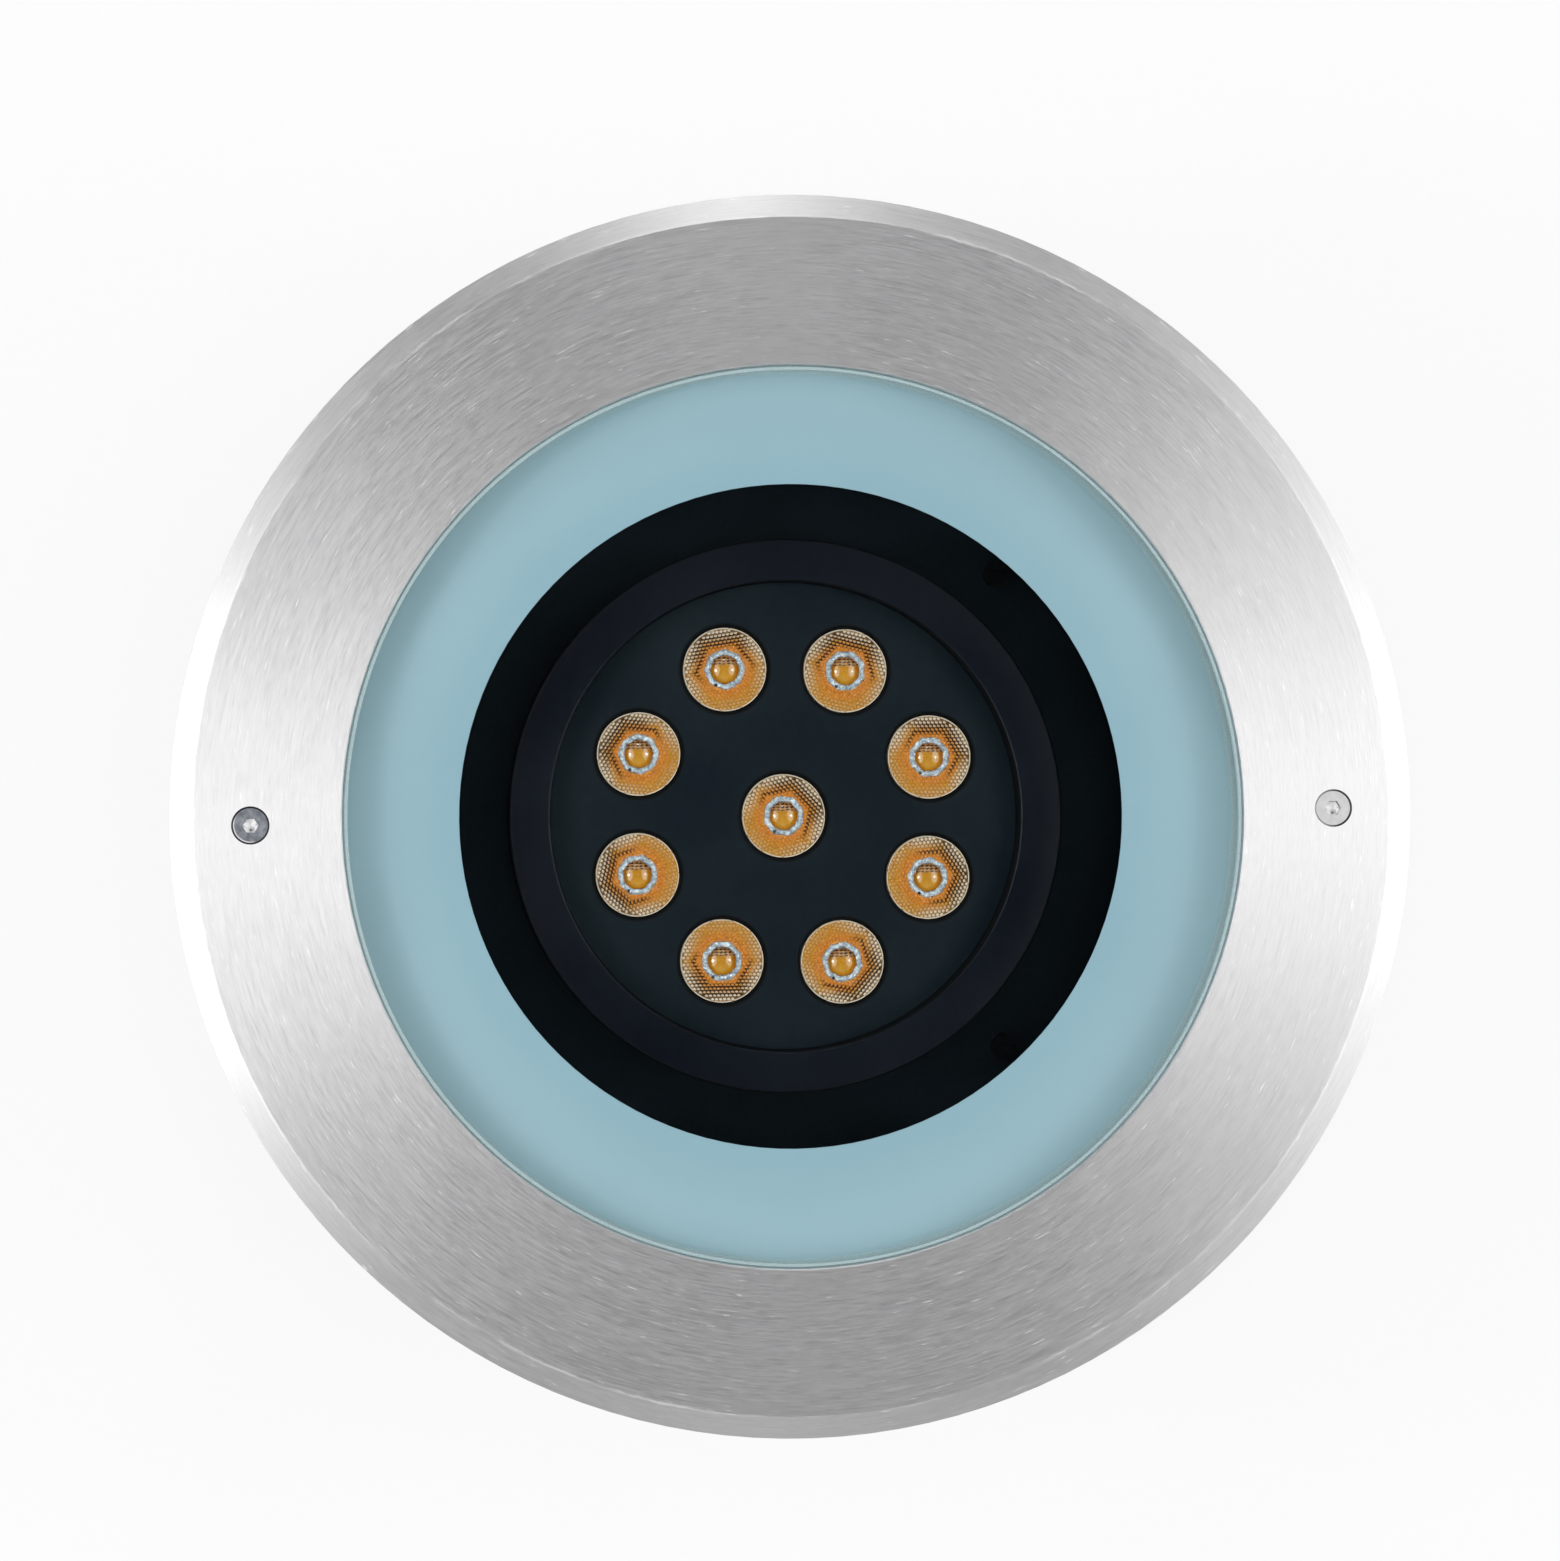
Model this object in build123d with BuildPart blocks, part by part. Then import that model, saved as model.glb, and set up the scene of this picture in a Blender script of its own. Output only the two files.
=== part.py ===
from build123d import *
import os
from math import asin, cos, radians, sin

# In-ground well light. Nine lensed LEDs sit in a round head that tilts in a yoke, and the yoke
# turns on a pivot in a cast housing. A flush glass with a printed border closes the housing, a
# sleeve in the ground holds it, and a brushed bezel ring covers the joint.
# Millimetres. The origin is the centre of the sleeve's foot, +Z points up at the light's face,
# and the two bezel screws lie on the X axis.

# ---------------------------------------------------------------- sizes: lamp head
lens_radius = 10.3           # face of one lens
lens_count = 8               # lenses on the circle, round the one in the middle
lens_start_angle = 21.05     # first lens on the circle, from +X
lens_land = 5.926            # plate left between two neighbouring lens flanges
lens_hole_gap = 0.4          # between a lens and the edge of its hole
lens_hole_round = 0.8        # rounded lip of a lens hole
lens_flange_width = 1.7      # how far the flange stands out past the lens face
lens_flange_thickness = 1.2
lens_face_rise = 2.0         # lens face above the flange
lens_cone_height = 10.2      # reflecting cone below the flange
lens_cone_inset = 0.7        # cone's top edge, inside the lens face
lens_foot_radius = 4.4
lens_cavity_radius = 3.0     # hollow over the LED
lens_cavity_height = 4.4
lens_well_radius = 3.75      # well in the lens face, with a small dome in it
lens_well_depth = 2.6
lens_well_gap = 0.45         # flat ring round the dome
lens_dome_height = 1.6

led_package_size = 3.4
led_package_thickness = 0.8
led_dome_radius = 1.4
board_thickness = 1.6
board_gap = 1.0              # between the board and the head's skirt
pad_thickness = 0.3

rib_root = 1.0               # how far a rib, fin or web runs into the wall that it joins
drill_point = 1.0            # blind hole past the end of its screw

plate_thickness = 3.0
plate_margin = 6.7           # plate beyond the outermost lens flange
plate_gap = 0.2              # between the plate and the head's bore
standoff_radius = 2.5
standoff_gap = 5.5           # between a standoff and the middle lens's flange

rim_rise = 8.0               # head's rim above the plate
rim_depth = 12.0             # height of the rim's wide part
rim_overhang = 8.4           # rim beyond the skirt
rim_outer_round = 0.8
rim_inner_round = 1.8
skirt_ledge = 2.0            # seat under the plate's edge
skirt_wall = 4.0

sink_base_thickness = 5.7
sink_above_axis = 4.0        # underside of the heat sink's base, above the tilt axis
sink_below_axis = 14.0       # fin tips, below the tilt axis
sink_fin_thickness = 2.0
sink_fin_pitch = 7.0
sink_fin_count = 11
sink_fin_inset = 2.0         # fin ends inside the base's edge
sink_lug_depth = 12.0        # block that each tilt screw holds in
sink_lug_half_width = 9.0
sink_lug_drop = 9.0

# ---------------------------------------------------------------- sizes: yoke and pivots
tilt_limit = 12.0            # degrees each way
tilt_screw_radius = 3.0
tilt_screw_fit = 0.05
tilt_screw_head_radius = 5.0
tilt_screw_head_height = 3.0
tilt_socket_flats = 4.0
tilt_socket_depth = 1.8
tilt_screw_grip = 9.0        # thread inside the heat sink's lug
tilt_washer_radius = 7.0
tilt_washer_thickness = 0.8
yoke_thickness = 3.0
yoke_half_width = 12.0
yoke_arm_half_width = 9.0
yoke_bend_radius = 4.0
yoke_inner_bend = 2.5
pan_bolt_radius = 5.0
pan_bolt_bore = 3.2
pan_bolt_fit = 0.05
pan_bolt_head_flats = 17.0
pan_bolt_head_height = 4.5
pan_nut_flats = 17.0
pan_nut_height = 5.0
pan_bolt_tail = 1.0          # thread past the nut
pan_washer_radius = 15.0
pan_washer_thickness = 1.0
pan_head_gap = 2.25          # between the pan nut and the tilted heat sink

# ---------------------------------------------------------------- sizes: glass and its seal
head_border_gap = 12.4       # from the rim to the inner edge of the printed border
border_width = 27.7          # printed border, out to the edge of the glass face
border_thickness = 0.2
border_edge_gap = 0.5
glass_step_width = 6.0       # clamped step round the glass face
glass_step_thickness = 5.1
glass_step_drop = 3.0        # top of the clamped step, below ground level
glass_recess = 0.1           # glass face below the bezel face
glass_arris = 0.8
glass_gap = 0.5              # between the glass and the bezel
glass_swing_gap = 4.2        # between the printed border and the tilted rim
gasket_lip_width = 12.0
gasket_lip_thickness = 2.0
gasket_wall = 1.5
gasket_cap_width = 5.0
clamp_ring_thickness = 2.0
clamp_ring_gap = 0.7         # between the clamp ring and the glass
clamp_land = 9.0             # housing flange outside the gasket recess
clamp_ring_inset = 0.4       # clamp ring's edge inside the housing flange
clamp_screw_count = 8
clamp_screw_radius = 1.9
clamp_screw_head_radius = 3.6
clamp_screw_head_sink = 0.1
clamp_screw_length = 10.0
clamp_socket_flats = 2.5
clamp_socket_depth = 1.9
screw_hole_gap = 0.05        # threads are drawn as plain bores

# ---------------------------------------------------------------- sizes: bezel
bezel_thickness = 4.0
bezel_bevel_width = 5.5
bezel_bevel_drop = 2.2
bezel_arris = 0.3
screw_to_edge = 19.2         # bezel screw to the bezel's edge
bezel_overhang = 9.0         # bezel past the sleeve's lip
bezel_screw_radius = 2.45
bezel_screw_length = 14.0
bezel_screw_head_radius = 4.15
bezel_screw_head_height = 1.9
bezel_sink_radius = 4.55     # mouth of the countersink in the bezel face
bezel_hole_gap = 0.3
bezel_socket_flats = 3.4
bezel_socket_depth = 1.5
bezel_socket_cone = 0.85     # drill cone below the socket
bezel_socket_point = 0.2
retainer_radius = 4.6
retainer_thickness = 0.8
retainer_gap = 0.1

# ---------------------------------------------------------------- sizes: housing and gear
wiring_depth = 59.0          # free height in the sleeve below the housing
housing_floor = 5.0
housing_base_round = 2.5
housing_wall = 4.0
housing_ledge = 12.5         # seat under the glass, from its face's edge inwards
housing_flange_floor = 3.7   # metal under the gasket recess
housing_fin_count = 20
housing_fin_thickness = 3.0
housing_fin_depth = 10.0
housing_fin_start = 7.0      # fins begin this far above the housing's underside
gear_depth = 41.0            # from the housing floor to the chassis plate
post_radius = 6.5
post_inset = 9.0             # post centre from the housing wall
post_count = 4
chassis_thickness = 3.0
chassis_gap = 2.0
chassis_slot_radius = 6.0    # lead holes through the chassis plate
chassis_slot_circle = 36.0
small_screw_radius = 1.95
small_screw_head_radius = 3.6
small_screw_head_height = 2.4
small_socket_flats = 3.0
small_socket_depth = 1.2
chassis_screw_grip = 9.0

driver_length = 96.0
driver_width = 44.0
driver_height = 24.0
driver_wall = 2.0
driver_lid_thickness = 2.0
driver_y = 38.0
driver_post_radius = 3.0
driver_board_gap = 1.5
driver_board_thickness = 1.6
driver_part_x = 24.0         # two capacitors, either side of the coil
driver_part_length = 19.0
driver_part_width = 12.0
driver_part_height = 12.0
driver_coil_radius = 6.0
driver_screw_radius = 1.2
driver_screw_length = 10.0
driver_screw_head_radius = 2.2
driver_screw_head_height = 1.2

terminal_length = 36.0
terminal_width = 16.0
terminal_height = 16.0
terminal_pitch = 10.0
terminal_ways = 3
terminal_port_radius = 2.5
terminal_screw_radius = 2.0
terminal_screw_depth = 7.0
terminal_screw_recess = 1.0
terminal_port_height = 5.3
terminal_y = -4.0
earth_x = 62.0
earth_y = -8.0
earth_boss_radius = 6.0
earth_boss_height = 6.0

# ---------------------------------------------------------------- sizes: glands and vent
gland_spacing = 68.0
gland_y = -38.0
gland_cable_radius = 5.0     # bore of the rubber seal
gland_seal_wall = 2.1
gland_thread_radius = 9.9
gland_body_wall = 2.3
gland_hex_flats = 24.0
gland_hex_thickness = 5.0
gland_inner_length = 13.0    # thread through the housing floor
gland_outer_length = 10.0    # collet below the hexagon
gland_washer_thickness = 1.5
gland_washer_width = 3.0
gland_nut_wall = 2.3
gland_nut_length = 20.0
gland_nut_flats = 22.0
gland_nut_hex_length = 9.0
gland_nut_gap = 1.0          # between the dome nut and the body's hexagon
gland_nut_mouth = 1.0        # mouth's radius past the cable
gland_nut_round = 2.3
gland_seal_lip = 6.5         # part of the seal below the collet
lock_nut_flats = 25.0
lock_nut_thickness = 5.0
vent_y = -66.0
vent_stem_radius = 5.9
vent_cap_radius = 9.0
vent_cap_height = 7.0
vent_cap_round = 1.8
vent_stem_length = 8.0

# ---------------------------------------------------------------- sizes: sleeve
sleeve_fit = 0.4             # between the housing flange and the sleeve
sleeve_wall = 3.0
sleeve_fin_gap = 4.0         # between the housing's fins and the sleeve
lip_thickness = 5.0
foot_thickness = 4.0
foot_width = 24.0
foot_bevel = 0.5
foot_hole_radius = 3.5
foot_hole_count = 4
sleeve_rib_count = 8
sleeve_rib_thickness = 3.0
sleeve_rib_setback = 4.0     # rib's edge inside the lip and the foot
insert_radius = 3.6
insert_wall = 1.8            # plastic between an insert and the sleeve's bore
insert_boss_wall = 2.9
insert_length = 12.0
insert_sink = 1.0            # insert's top, below the sleeve's top
hub_bore_radius = 12.7
hub_wall = 3.3
hub_flange_width = 4.0
hub_flange_thickness = 4.0
hub_length = 22.0
hub_mouth_bevel = 0.8
hub_boss_width = 2.0
hub_boss_rise = 5.0          # flat boss proud of the sleeve's wall
hub_hole_gap = 1.5           # sleeve's hole, wider than the hub's bore
hub_ground_gap = 6.0         # between the hub's flange and the foot

# ---------------------------------------------------------------- radii that follow
lens_flange_radius = lens_radius + lens_flange_width
lens_spacing = 2 * lens_flange_radius + lens_land
lens_circle = lens_spacing / (2 * sin(radians(180 / lens_count)))
plate_radius = lens_circle + lens_flange_radius + plate_margin
head_bore_radius = plate_radius + plate_gap
skirt_inner_radius = head_bore_radius - skirt_ledge
skirt_radius = skirt_inner_radius + skirt_wall
head_radius = skirt_radius + rim_overhang
standoff_circle = lens_flange_radius + standoff_gap + standoff_radius
sink_fin_radius = skirt_radius - sink_fin_inset
arm_inner_x = skirt_radius + tilt_washer_thickness
arm_outer_x = arm_inner_x + yoke_thickness

border_inner_radius = head_radius + head_border_gap
glass_radius = border_inner_radius + border_width
glass_step_radius = glass_radius + glass_step_width
border_outer_radius = glass_step_radius - border_edge_gap
recess_radius = glass_step_radius + gasket_wall
housing_bore_radius = glass_radius - housing_ledge
housing_radius = housing_bore_radius + housing_wall
housing_fin_tip = housing_radius + housing_fin_depth
housing_flange_radius = recess_radius + clamp_land
clamp_ring_radius = housing_flange_radius - clamp_ring_inset
clamp_screw_circle = recess_radius + clamp_land / 2

cup_bore_radius = housing_flange_radius + sleeve_fit
cup_radius = cup_bore_radius + sleeve_wall
insert_circle = cup_bore_radius + insert_wall + insert_radius
sleeve_bore_radius = housing_fin_tip + sleeve_fin_gap
sleeve_radius = sleeve_bore_radius + sleeve_wall
foot_radius = sleeve_radius + foot_width
foot_hole_circle = sleeve_radius + foot_width / 2
bezel_opening = glass_radius + glass_gap
bezel_radius = insert_circle + screw_to_edge
lip_radius = bezel_radius - bezel_overhang
rib_tip = min(lip_radius, foot_radius) - sleeve_rib_setback

# ---------------------------------------------------------------- heights that follow
housing_bottom = wiring_depth
floor_top = housing_bottom + housing_floor
chassis_bottom = floor_top + gear_depth
chassis_top = chassis_bottom + chassis_thickness
yoke_bottom = chassis_top + pan_washer_thickness
yoke_top = yoke_bottom + yoke_thickness
pan_nut_bottom = yoke_top + pan_washer_thickness
pan_nut_top = pan_nut_bottom + pan_nut_height
head_drop = sink_below_axis * cos(radians(tilt_limit)) + sink_fin_radius * sin(radians(tilt_limit))
tilt_z = pan_nut_top + pan_head_gap + head_drop
sink_bottom = tilt_z - sink_below_axis
sink_base_bottom = tilt_z + sink_above_axis
sink_top = sink_base_bottom + sink_base_thickness
board_bottom = sink_top + pad_thickness
board_top = board_bottom + board_thickness
lens_flange_bottom = board_top + lens_cone_height
plate_bottom = lens_flange_bottom + lens_flange_thickness
plate_top = plate_bottom + plate_thickness
lens_face = plate_bottom + lens_face_rise
head_top = plate_top + rim_rise
rim_bottom = head_top - rim_depth

head_above_axis = head_top - tilt_z
head_lift = head_above_axis * cos(radians(tilt_limit)) + head_radius * sin(radians(tilt_limit))
border_bottom = tilt_z + head_lift + glass_swing_gap
glass_bottom = border_bottom + border_thickness
glass_step_top = glass_bottom + glass_step_thickness
ground = glass_step_top + glass_step_drop
clamp_ring_bottom = ground - clamp_ring_thickness
recess_floor = border_bottom - gasket_lip_thickness
flange_bottom = recess_floor - housing_flange_floor
bezel_face = ground + bezel_thickness
glass_face = bezel_face - glass_recess
cup_bottom = flange_bottom - sleeve_wall

hub_flange_radius = hub_bore_radius + hub_wall + hub_flange_width
hub_z = foot_thickness + hub_ground_gap + hub_flange_radius
hub_face_y = sleeve_radius + hub_boss_rise
gland_bottom = housing_bottom - gland_washer_thickness
gland_hex_bottom = gland_bottom - gland_hex_thickness
collet_bottom = gland_hex_bottom - gland_outer_length
gland_nut_top = gland_hex_bottom - gland_nut_gap
gland_nut_bottom = gland_nut_top - gland_nut_length
gland_bore_radius = gland_cable_radius + gland_seal_wall
gland_body_radius = gland_bore_radius + gland_body_wall
gland_nut_radius = gland_body_radius + screw_hole_gap + gland_nut_wall

os.makedirs("parts", exist_ok=True)


def save(piece, name):
    """Label a finished piece and write it out under its name."""
    piece.label = name
    export_step(piece, f"parts/{name}.step")


# ---------------------------------------------------------------- sleeve, set in the ground
with BuildPart() as sleeve:
    with BuildSketch(Plane.XZ):
        with BuildLine():
            Polyline(
                (0, 0),
                (foot_radius, 0),
                (foot_radius, foot_thickness),
                (sleeve_radius, foot_thickness),
                (sleeve_radius, cup_bottom),
                (cup_radius, cup_bottom),
                (cup_radius, ground - lip_thickness),
                (lip_radius, ground - lip_thickness),
                (lip_radius, ground),
                (0, ground),
                close=True,
            )
        make_face()
    revolve(axis=Axis.Z)
    with BuildSketch(Plane.XY.offset(foot_thickness)):
        with PolarLocations(0, sleeve_rib_count, start_angle=180 / sleeve_rib_count):
            with Locations(((sleeve_radius - rib_root + rib_tip) / 2, 0)):
                Rectangle(rib_tip - sleeve_radius + rib_root, sleeve_rib_thickness)
    extrude(amount=ground - lip_thickness - foot_thickness)
    with BuildSketch(Plane.XY.offset(ground)):
        with PolarLocations(insert_circle, 2):
            Circle(insert_radius + insert_boss_wall)
    extrude(amount=-(insert_sink + insert_length + insert_boss_wall))
    with BuildSketch(Plane.XZ.offset(-hub_face_y)):
        with Locations((0, hub_z)):
            Circle(hub_flange_radius + hub_boss_width)
    extrude(amount=2 * hub_face_y)
    with BuildSketch(Plane.XY):
        Circle(sleeve_bore_radius)
    extrude(amount=ground, mode=Mode.SUBTRACT)
    with BuildSketch(Plane.XY.offset(flange_bottom)):
        Circle(cup_bore_radius)
    extrude(amount=ground - flange_bottom, mode=Mode.SUBTRACT)
    with BuildSketch(Plane.XZ.offset(-hub_face_y)):
        with Locations((0, hub_z)):
            Circle(hub_bore_radius + hub_hole_gap)
    extrude(amount=2 * hub_face_y, mode=Mode.SUBTRACT)
    with BuildSketch(Plane.XY.offset(ground)):
        with PolarLocations(insert_circle, 2):
            Circle(insert_radius)
    extrude(amount=-(insert_sink + insert_length), mode=Mode.SUBTRACT)
    # the retaining washers of the bezel screws lie in these shallow recesses
    with BuildSketch(Plane.XY.offset(ground)):
        with PolarLocations(insert_circle, 2):
            Circle(retainer_radius + retainer_gap)
    extrude(amount=-insert_sink, mode=Mode.SUBTRACT)
    with BuildSketch():
        with PolarLocations(foot_hole_circle, foot_hole_count, start_angle=180 / foot_hole_count):
            Circle(foot_hole_radius)
    extrude(amount=foot_thickness, mode=Mode.SUBTRACT)
    foot_rim = sleeve.edges().filter_by(GeomType.CIRCLE).group_by(Axis.Z)[0].sort_by(SortBy.RADIUS)[-1]
    chamfer(foot_rim, length=foot_bevel)
save(sleeve.part, "sleeve")

with BuildPart() as threaded_inserts:
    with BuildSketch(Plane.XY.offset(ground - insert_sink)):
        with PolarLocations(insert_circle, 2):
            Circle(insert_radius)
            Circle(bezel_screw_radius + screw_hole_gap, mode=Mode.SUBTRACT)
    extrude(amount=-insert_length)
save(threaded_inserts.part, "threaded_inserts")

for side, turn in (("back", 0), ("front", 180)):
    with BuildPart() as conduit_hub:
        with BuildSketch(Plane.XZ.offset(-hub_face_y)):
            with Locations((0, hub_z)):
                Circle(hub_flange_radius)
                Circle(hub_bore_radius, mode=Mode.SUBTRACT)
        extrude(amount=-hub_flange_thickness)
        with BuildSketch(Plane.XZ.offset(-hub_face_y)):
            with Locations((0, hub_z)):
                Circle(hub_bore_radius + hub_wall)
                Circle(hub_bore_radius, mode=Mode.SUBTRACT)
        extrude(amount=-hub_length)
        mouth = conduit_hub.faces().sort_by(Axis.Y)[-1].outer_wire().edges()
        chamfer(mouth, length=hub_mouth_bevel)
    save(conduit_hub.part.rotate(Axis.Z, turn), f"conduit_hub_{side}")

# ---------------------------------------------------------------- housing
with BuildPart() as housing:
    with BuildSketch(Plane.XZ):
        with BuildLine():
            Polyline(
                (0, housing_bottom),
                (housing_radius, housing_bottom),
                (housing_radius, flange_bottom),
                (housing_flange_radius, flange_bottom),
                (housing_flange_radius, clamp_ring_bottom),
                (recess_radius, clamp_ring_bottom),
                (recess_radius, recess_floor),
                (housing_bore_radius, recess_floor),
                (housing_bore_radius, floor_top),
                (0, floor_top),
                close=True,
            )
        make_face()
    revolve(axis=Axis.Z)
    with BuildSketch(Plane.XY.offset(housing_bottom + housing_fin_start)):
        with PolarLocations(0, housing_fin_count):
            with Locations(((housing_radius - rib_root + housing_fin_tip) / 2, 0)):
                Rectangle(housing_fin_tip - housing_radius + rib_root, housing_fin_thickness)
    extrude(amount=flange_bottom - housing_bottom - housing_fin_start)
    # posts for the chassis plate, each joined to the wall by a web
    with BuildSketch(Plane.XY.offset(floor_top)):
        with PolarLocations(housing_bore_radius - post_inset, post_count, start_angle=180 / post_count):
            Circle(post_radius)
            with Locations(((post_inset + rib_root) / 2, 0)):
                Rectangle(post_inset + rib_root, post_radius)
    extrude(amount=gear_depth)
    with BuildSketch(Plane.XY.offset(floor_top)):
        with Locations((earth_x, earth_y)):
            Circle(earth_boss_radius)
    extrude(amount=earth_boss_height)
    with BuildSketch(Plane.XY.offset(chassis_bottom)):
        with PolarLocations(housing_bore_radius - post_inset, post_count, start_angle=180 / post_count):
            Circle(small_screw_radius + screw_hole_gap)
    extrude(amount=-(chassis_screw_grip + drill_point), mode=Mode.SUBTRACT)
    with BuildSketch(Plane.XY.offset(floor_top + earth_boss_height)):
        with Locations((earth_x, earth_y)):
            Circle(small_screw_radius + screw_hole_gap)
    extrude(amount=-earth_boss_height, mode=Mode.SUBTRACT)
    with BuildSketch(Plane.XY.offset(housing_bottom)):
        with GridLocations(gland_spacing, 0, 2, 1):
            with Locations((0, gland_y)):
                Circle(gland_thread_radius + screw_hole_gap)
        with Locations((0, vent_y)):
            Circle(vent_stem_radius + screw_hole_gap)
    extrude(amount=housing_floor, mode=Mode.SUBTRACT)
    with BuildSketch(Plane.XY.offset(clamp_ring_bottom)):
        with PolarLocations(clamp_screw_circle, clamp_screw_count, start_angle=180 / clamp_screw_count):
            Circle(clamp_screw_radius + screw_hole_gap)
    extrude(amount=-(clamp_screw_length - clamp_ring_thickness), mode=Mode.SUBTRACT)
    lower_rim = housing.edges().filter_by(GeomType.CIRCLE).group_by(Axis.Z)[0].sort_by(SortBy.RADIUS)[-1]
    fillet(lower_rim, radius=housing_base_round)
save(housing.part, "housing")

with BuildPart() as glass_gasket:
    with BuildSketch(Plane.XZ):
        with BuildLine():
            Polyline(
                (recess_radius, recess_floor),
                (recess_radius, clamp_ring_bottom),
                (recess_radius - gasket_cap_width, clamp_ring_bottom),
                (recess_radius - gasket_cap_width, glass_step_top),
                (glass_step_radius, glass_step_top),
                (glass_step_radius, border_bottom),
                (recess_radius - gasket_lip_width, border_bottom),
                (recess_radius - gasket_lip_width, recess_floor),
                close=True,
            )
        make_face()
    revolve(axis=Axis.Z)
save(glass_gasket.part, "glass_gasket")

with BuildPart() as cover_glass:
    with BuildSketch(Plane.XY.offset(glass_bottom)):
        Circle(glass_step_radius)
    extrude(amount=glass_step_thickness)
    with BuildSketch(Plane.XY.offset(glass_step_top)):
        Circle(glass_radius)
    extrude(amount=glass_face - glass_step_top)
    chamfer(cover_glass.faces().sort_by(Axis.Z)[-1].edges(), length=glass_arris)
save(cover_glass.part, "cover_glass")

with BuildPart() as glass_print_border:
    with BuildSketch(Plane.XY.offset(border_bottom)):
        Circle(border_outer_radius)
        Circle(border_inner_radius, mode=Mode.SUBTRACT)
    extrude(amount=border_thickness)
save(glass_print_border.part, "glass_print_border")

with BuildPart() as clamp_ring:
    with BuildSketch(Plane.XY.offset(clamp_ring_bottom)):
        Circle(clamp_ring_radius)
        Circle(glass_radius + clamp_ring_gap, mode=Mode.SUBTRACT)
    extrude(amount=clamp_ring_thickness)
    with Locations(Plane.XY.offset(ground)):
        with PolarLocations(clamp_screw_circle, clamp_screw_count, start_angle=180 / clamp_screw_count):
            CounterSinkHole(
                radius=clamp_screw_radius + screw_hole_gap,
                counter_sink_radius=clamp_screw_head_radius + clamp_screw_head_sink,
                counter_sink_angle=90,
            )
save(clamp_ring.part, "clamp_ring")

with BuildPart() as clamp_ring_screws:
    with PolarLocations(clamp_screw_circle, clamp_screw_count, start_angle=180 / clamp_screw_count):
        with Locations((0, 0, ground - clamp_screw_head_sink)):
            Cylinder(
                clamp_screw_radius,
                clamp_screw_length - clamp_screw_head_sink,
                align=(Align.CENTER, Align.CENTER, Align.MAX),
            )
            Cone(
                clamp_screw_radius,
                clamp_screw_head_radius,
                clamp_screw_head_radius - clamp_screw_radius,
                align=(Align.CENTER, Align.CENTER, Align.MAX),
            )
    with BuildSketch(Plane.XY.offset(ground)):
        with PolarLocations(clamp_screw_circle, clamp_screw_count, start_angle=180 / clamp_screw_count):
            RegularPolygon(clamp_socket_flats / 2, 6, major_radius=False)
    extrude(amount=-clamp_socket_depth, mode=Mode.SUBTRACT)
save(clamp_ring_screws.part, "clamp_ring_screws")

# ---------------------------------------------------------------- bezel and its screws
with BuildPart() as bezel_ring:
    with BuildSketch(Plane.XZ):
        with BuildLine():
            Polyline(
                (bezel_opening, ground),
                (bezel_radius, ground),
                (bezel_radius, bezel_face - bezel_bevel_drop),
                (bezel_radius - bezel_bevel_width, bezel_face),
                (bezel_opening + bezel_arris, bezel_face),
                (bezel_opening, bezel_face - bezel_arris),
                close=True,
            )
        make_face()
    revolve(axis=Axis.Z)
    with Locations(Plane.XY.offset(bezel_face)):
        with PolarLocations(insert_circle, 2):
            CounterSinkHole(
                radius=bezel_screw_radius + bezel_hole_gap,
                counter_sink_radius=bezel_sink_radius,
                counter_sink_angle=90,
            )
save(bezel_ring.part, "bezel_ring")

# the head's cone lies on the countersink, so its rim sits below the bezel's face
bezel_screw_top = bezel_face - (bezel_sink_radius - bezel_screw_head_radius)
for side, turn in (("right", 0), ("left", 180)):
    with BuildPart() as bezel_screw:
        with BuildSketch(Plane.XZ):
            with BuildLine():
                Polyline(
                    (0, bezel_screw_top),
                    (bezel_screw_head_radius, bezel_screw_top),
                    (
                        bezel_screw_head_radius - bezel_screw_head_height + bezel_arris,
                        bezel_screw_top - bezel_screw_head_height + bezel_arris,
                    ),
                    (bezel_screw_radius, bezel_screw_top - bezel_screw_head_height),
                    (bezel_screw_radius, bezel_screw_top - bezel_screw_length + bezel_arris),
                    (bezel_screw_radius - bezel_arris, bezel_screw_top - bezel_screw_length),
                    (0, bezel_screw_top - bezel_screw_length),
                    close=True,
                )
            make_face()
        revolve(axis=Axis.Z)
        with BuildSketch(Plane.XY.offset(bezel_screw_top)):
            RegularPolygon(bezel_socket_flats / 2, 6, major_radius=False)
        extrude(amount=-bezel_socket_depth, mode=Mode.SUBTRACT)
        with Locations((0, 0, bezel_screw_top - bezel_socket_depth)):
            Cone(
                bezel_socket_point,
                bezel_socket_flats / 2,
                bezel_socket_cone,
                align=(Align.CENTER, Align.CENTER, Align.MAX),
                mode=Mode.SUBTRACT,
            )
    placed = Pos(insert_circle, 0, 0) * bezel_screw.part
    save(placed.rotate(Axis.Z, turn), f"bezel_screw_{side}")

with BuildPart() as screw_retainers:
    with BuildSketch(Plane.XY.offset(ground - retainer_gap)):
        with PolarLocations(insert_circle, 2):
            Circle(retainer_radius)
            Circle(bezel_screw_radius + screw_hole_gap, mode=Mode.SUBTRACT)
    extrude(amount=-retainer_thickness)
save(screw_retainers.part, "screw_retainers")

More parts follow.
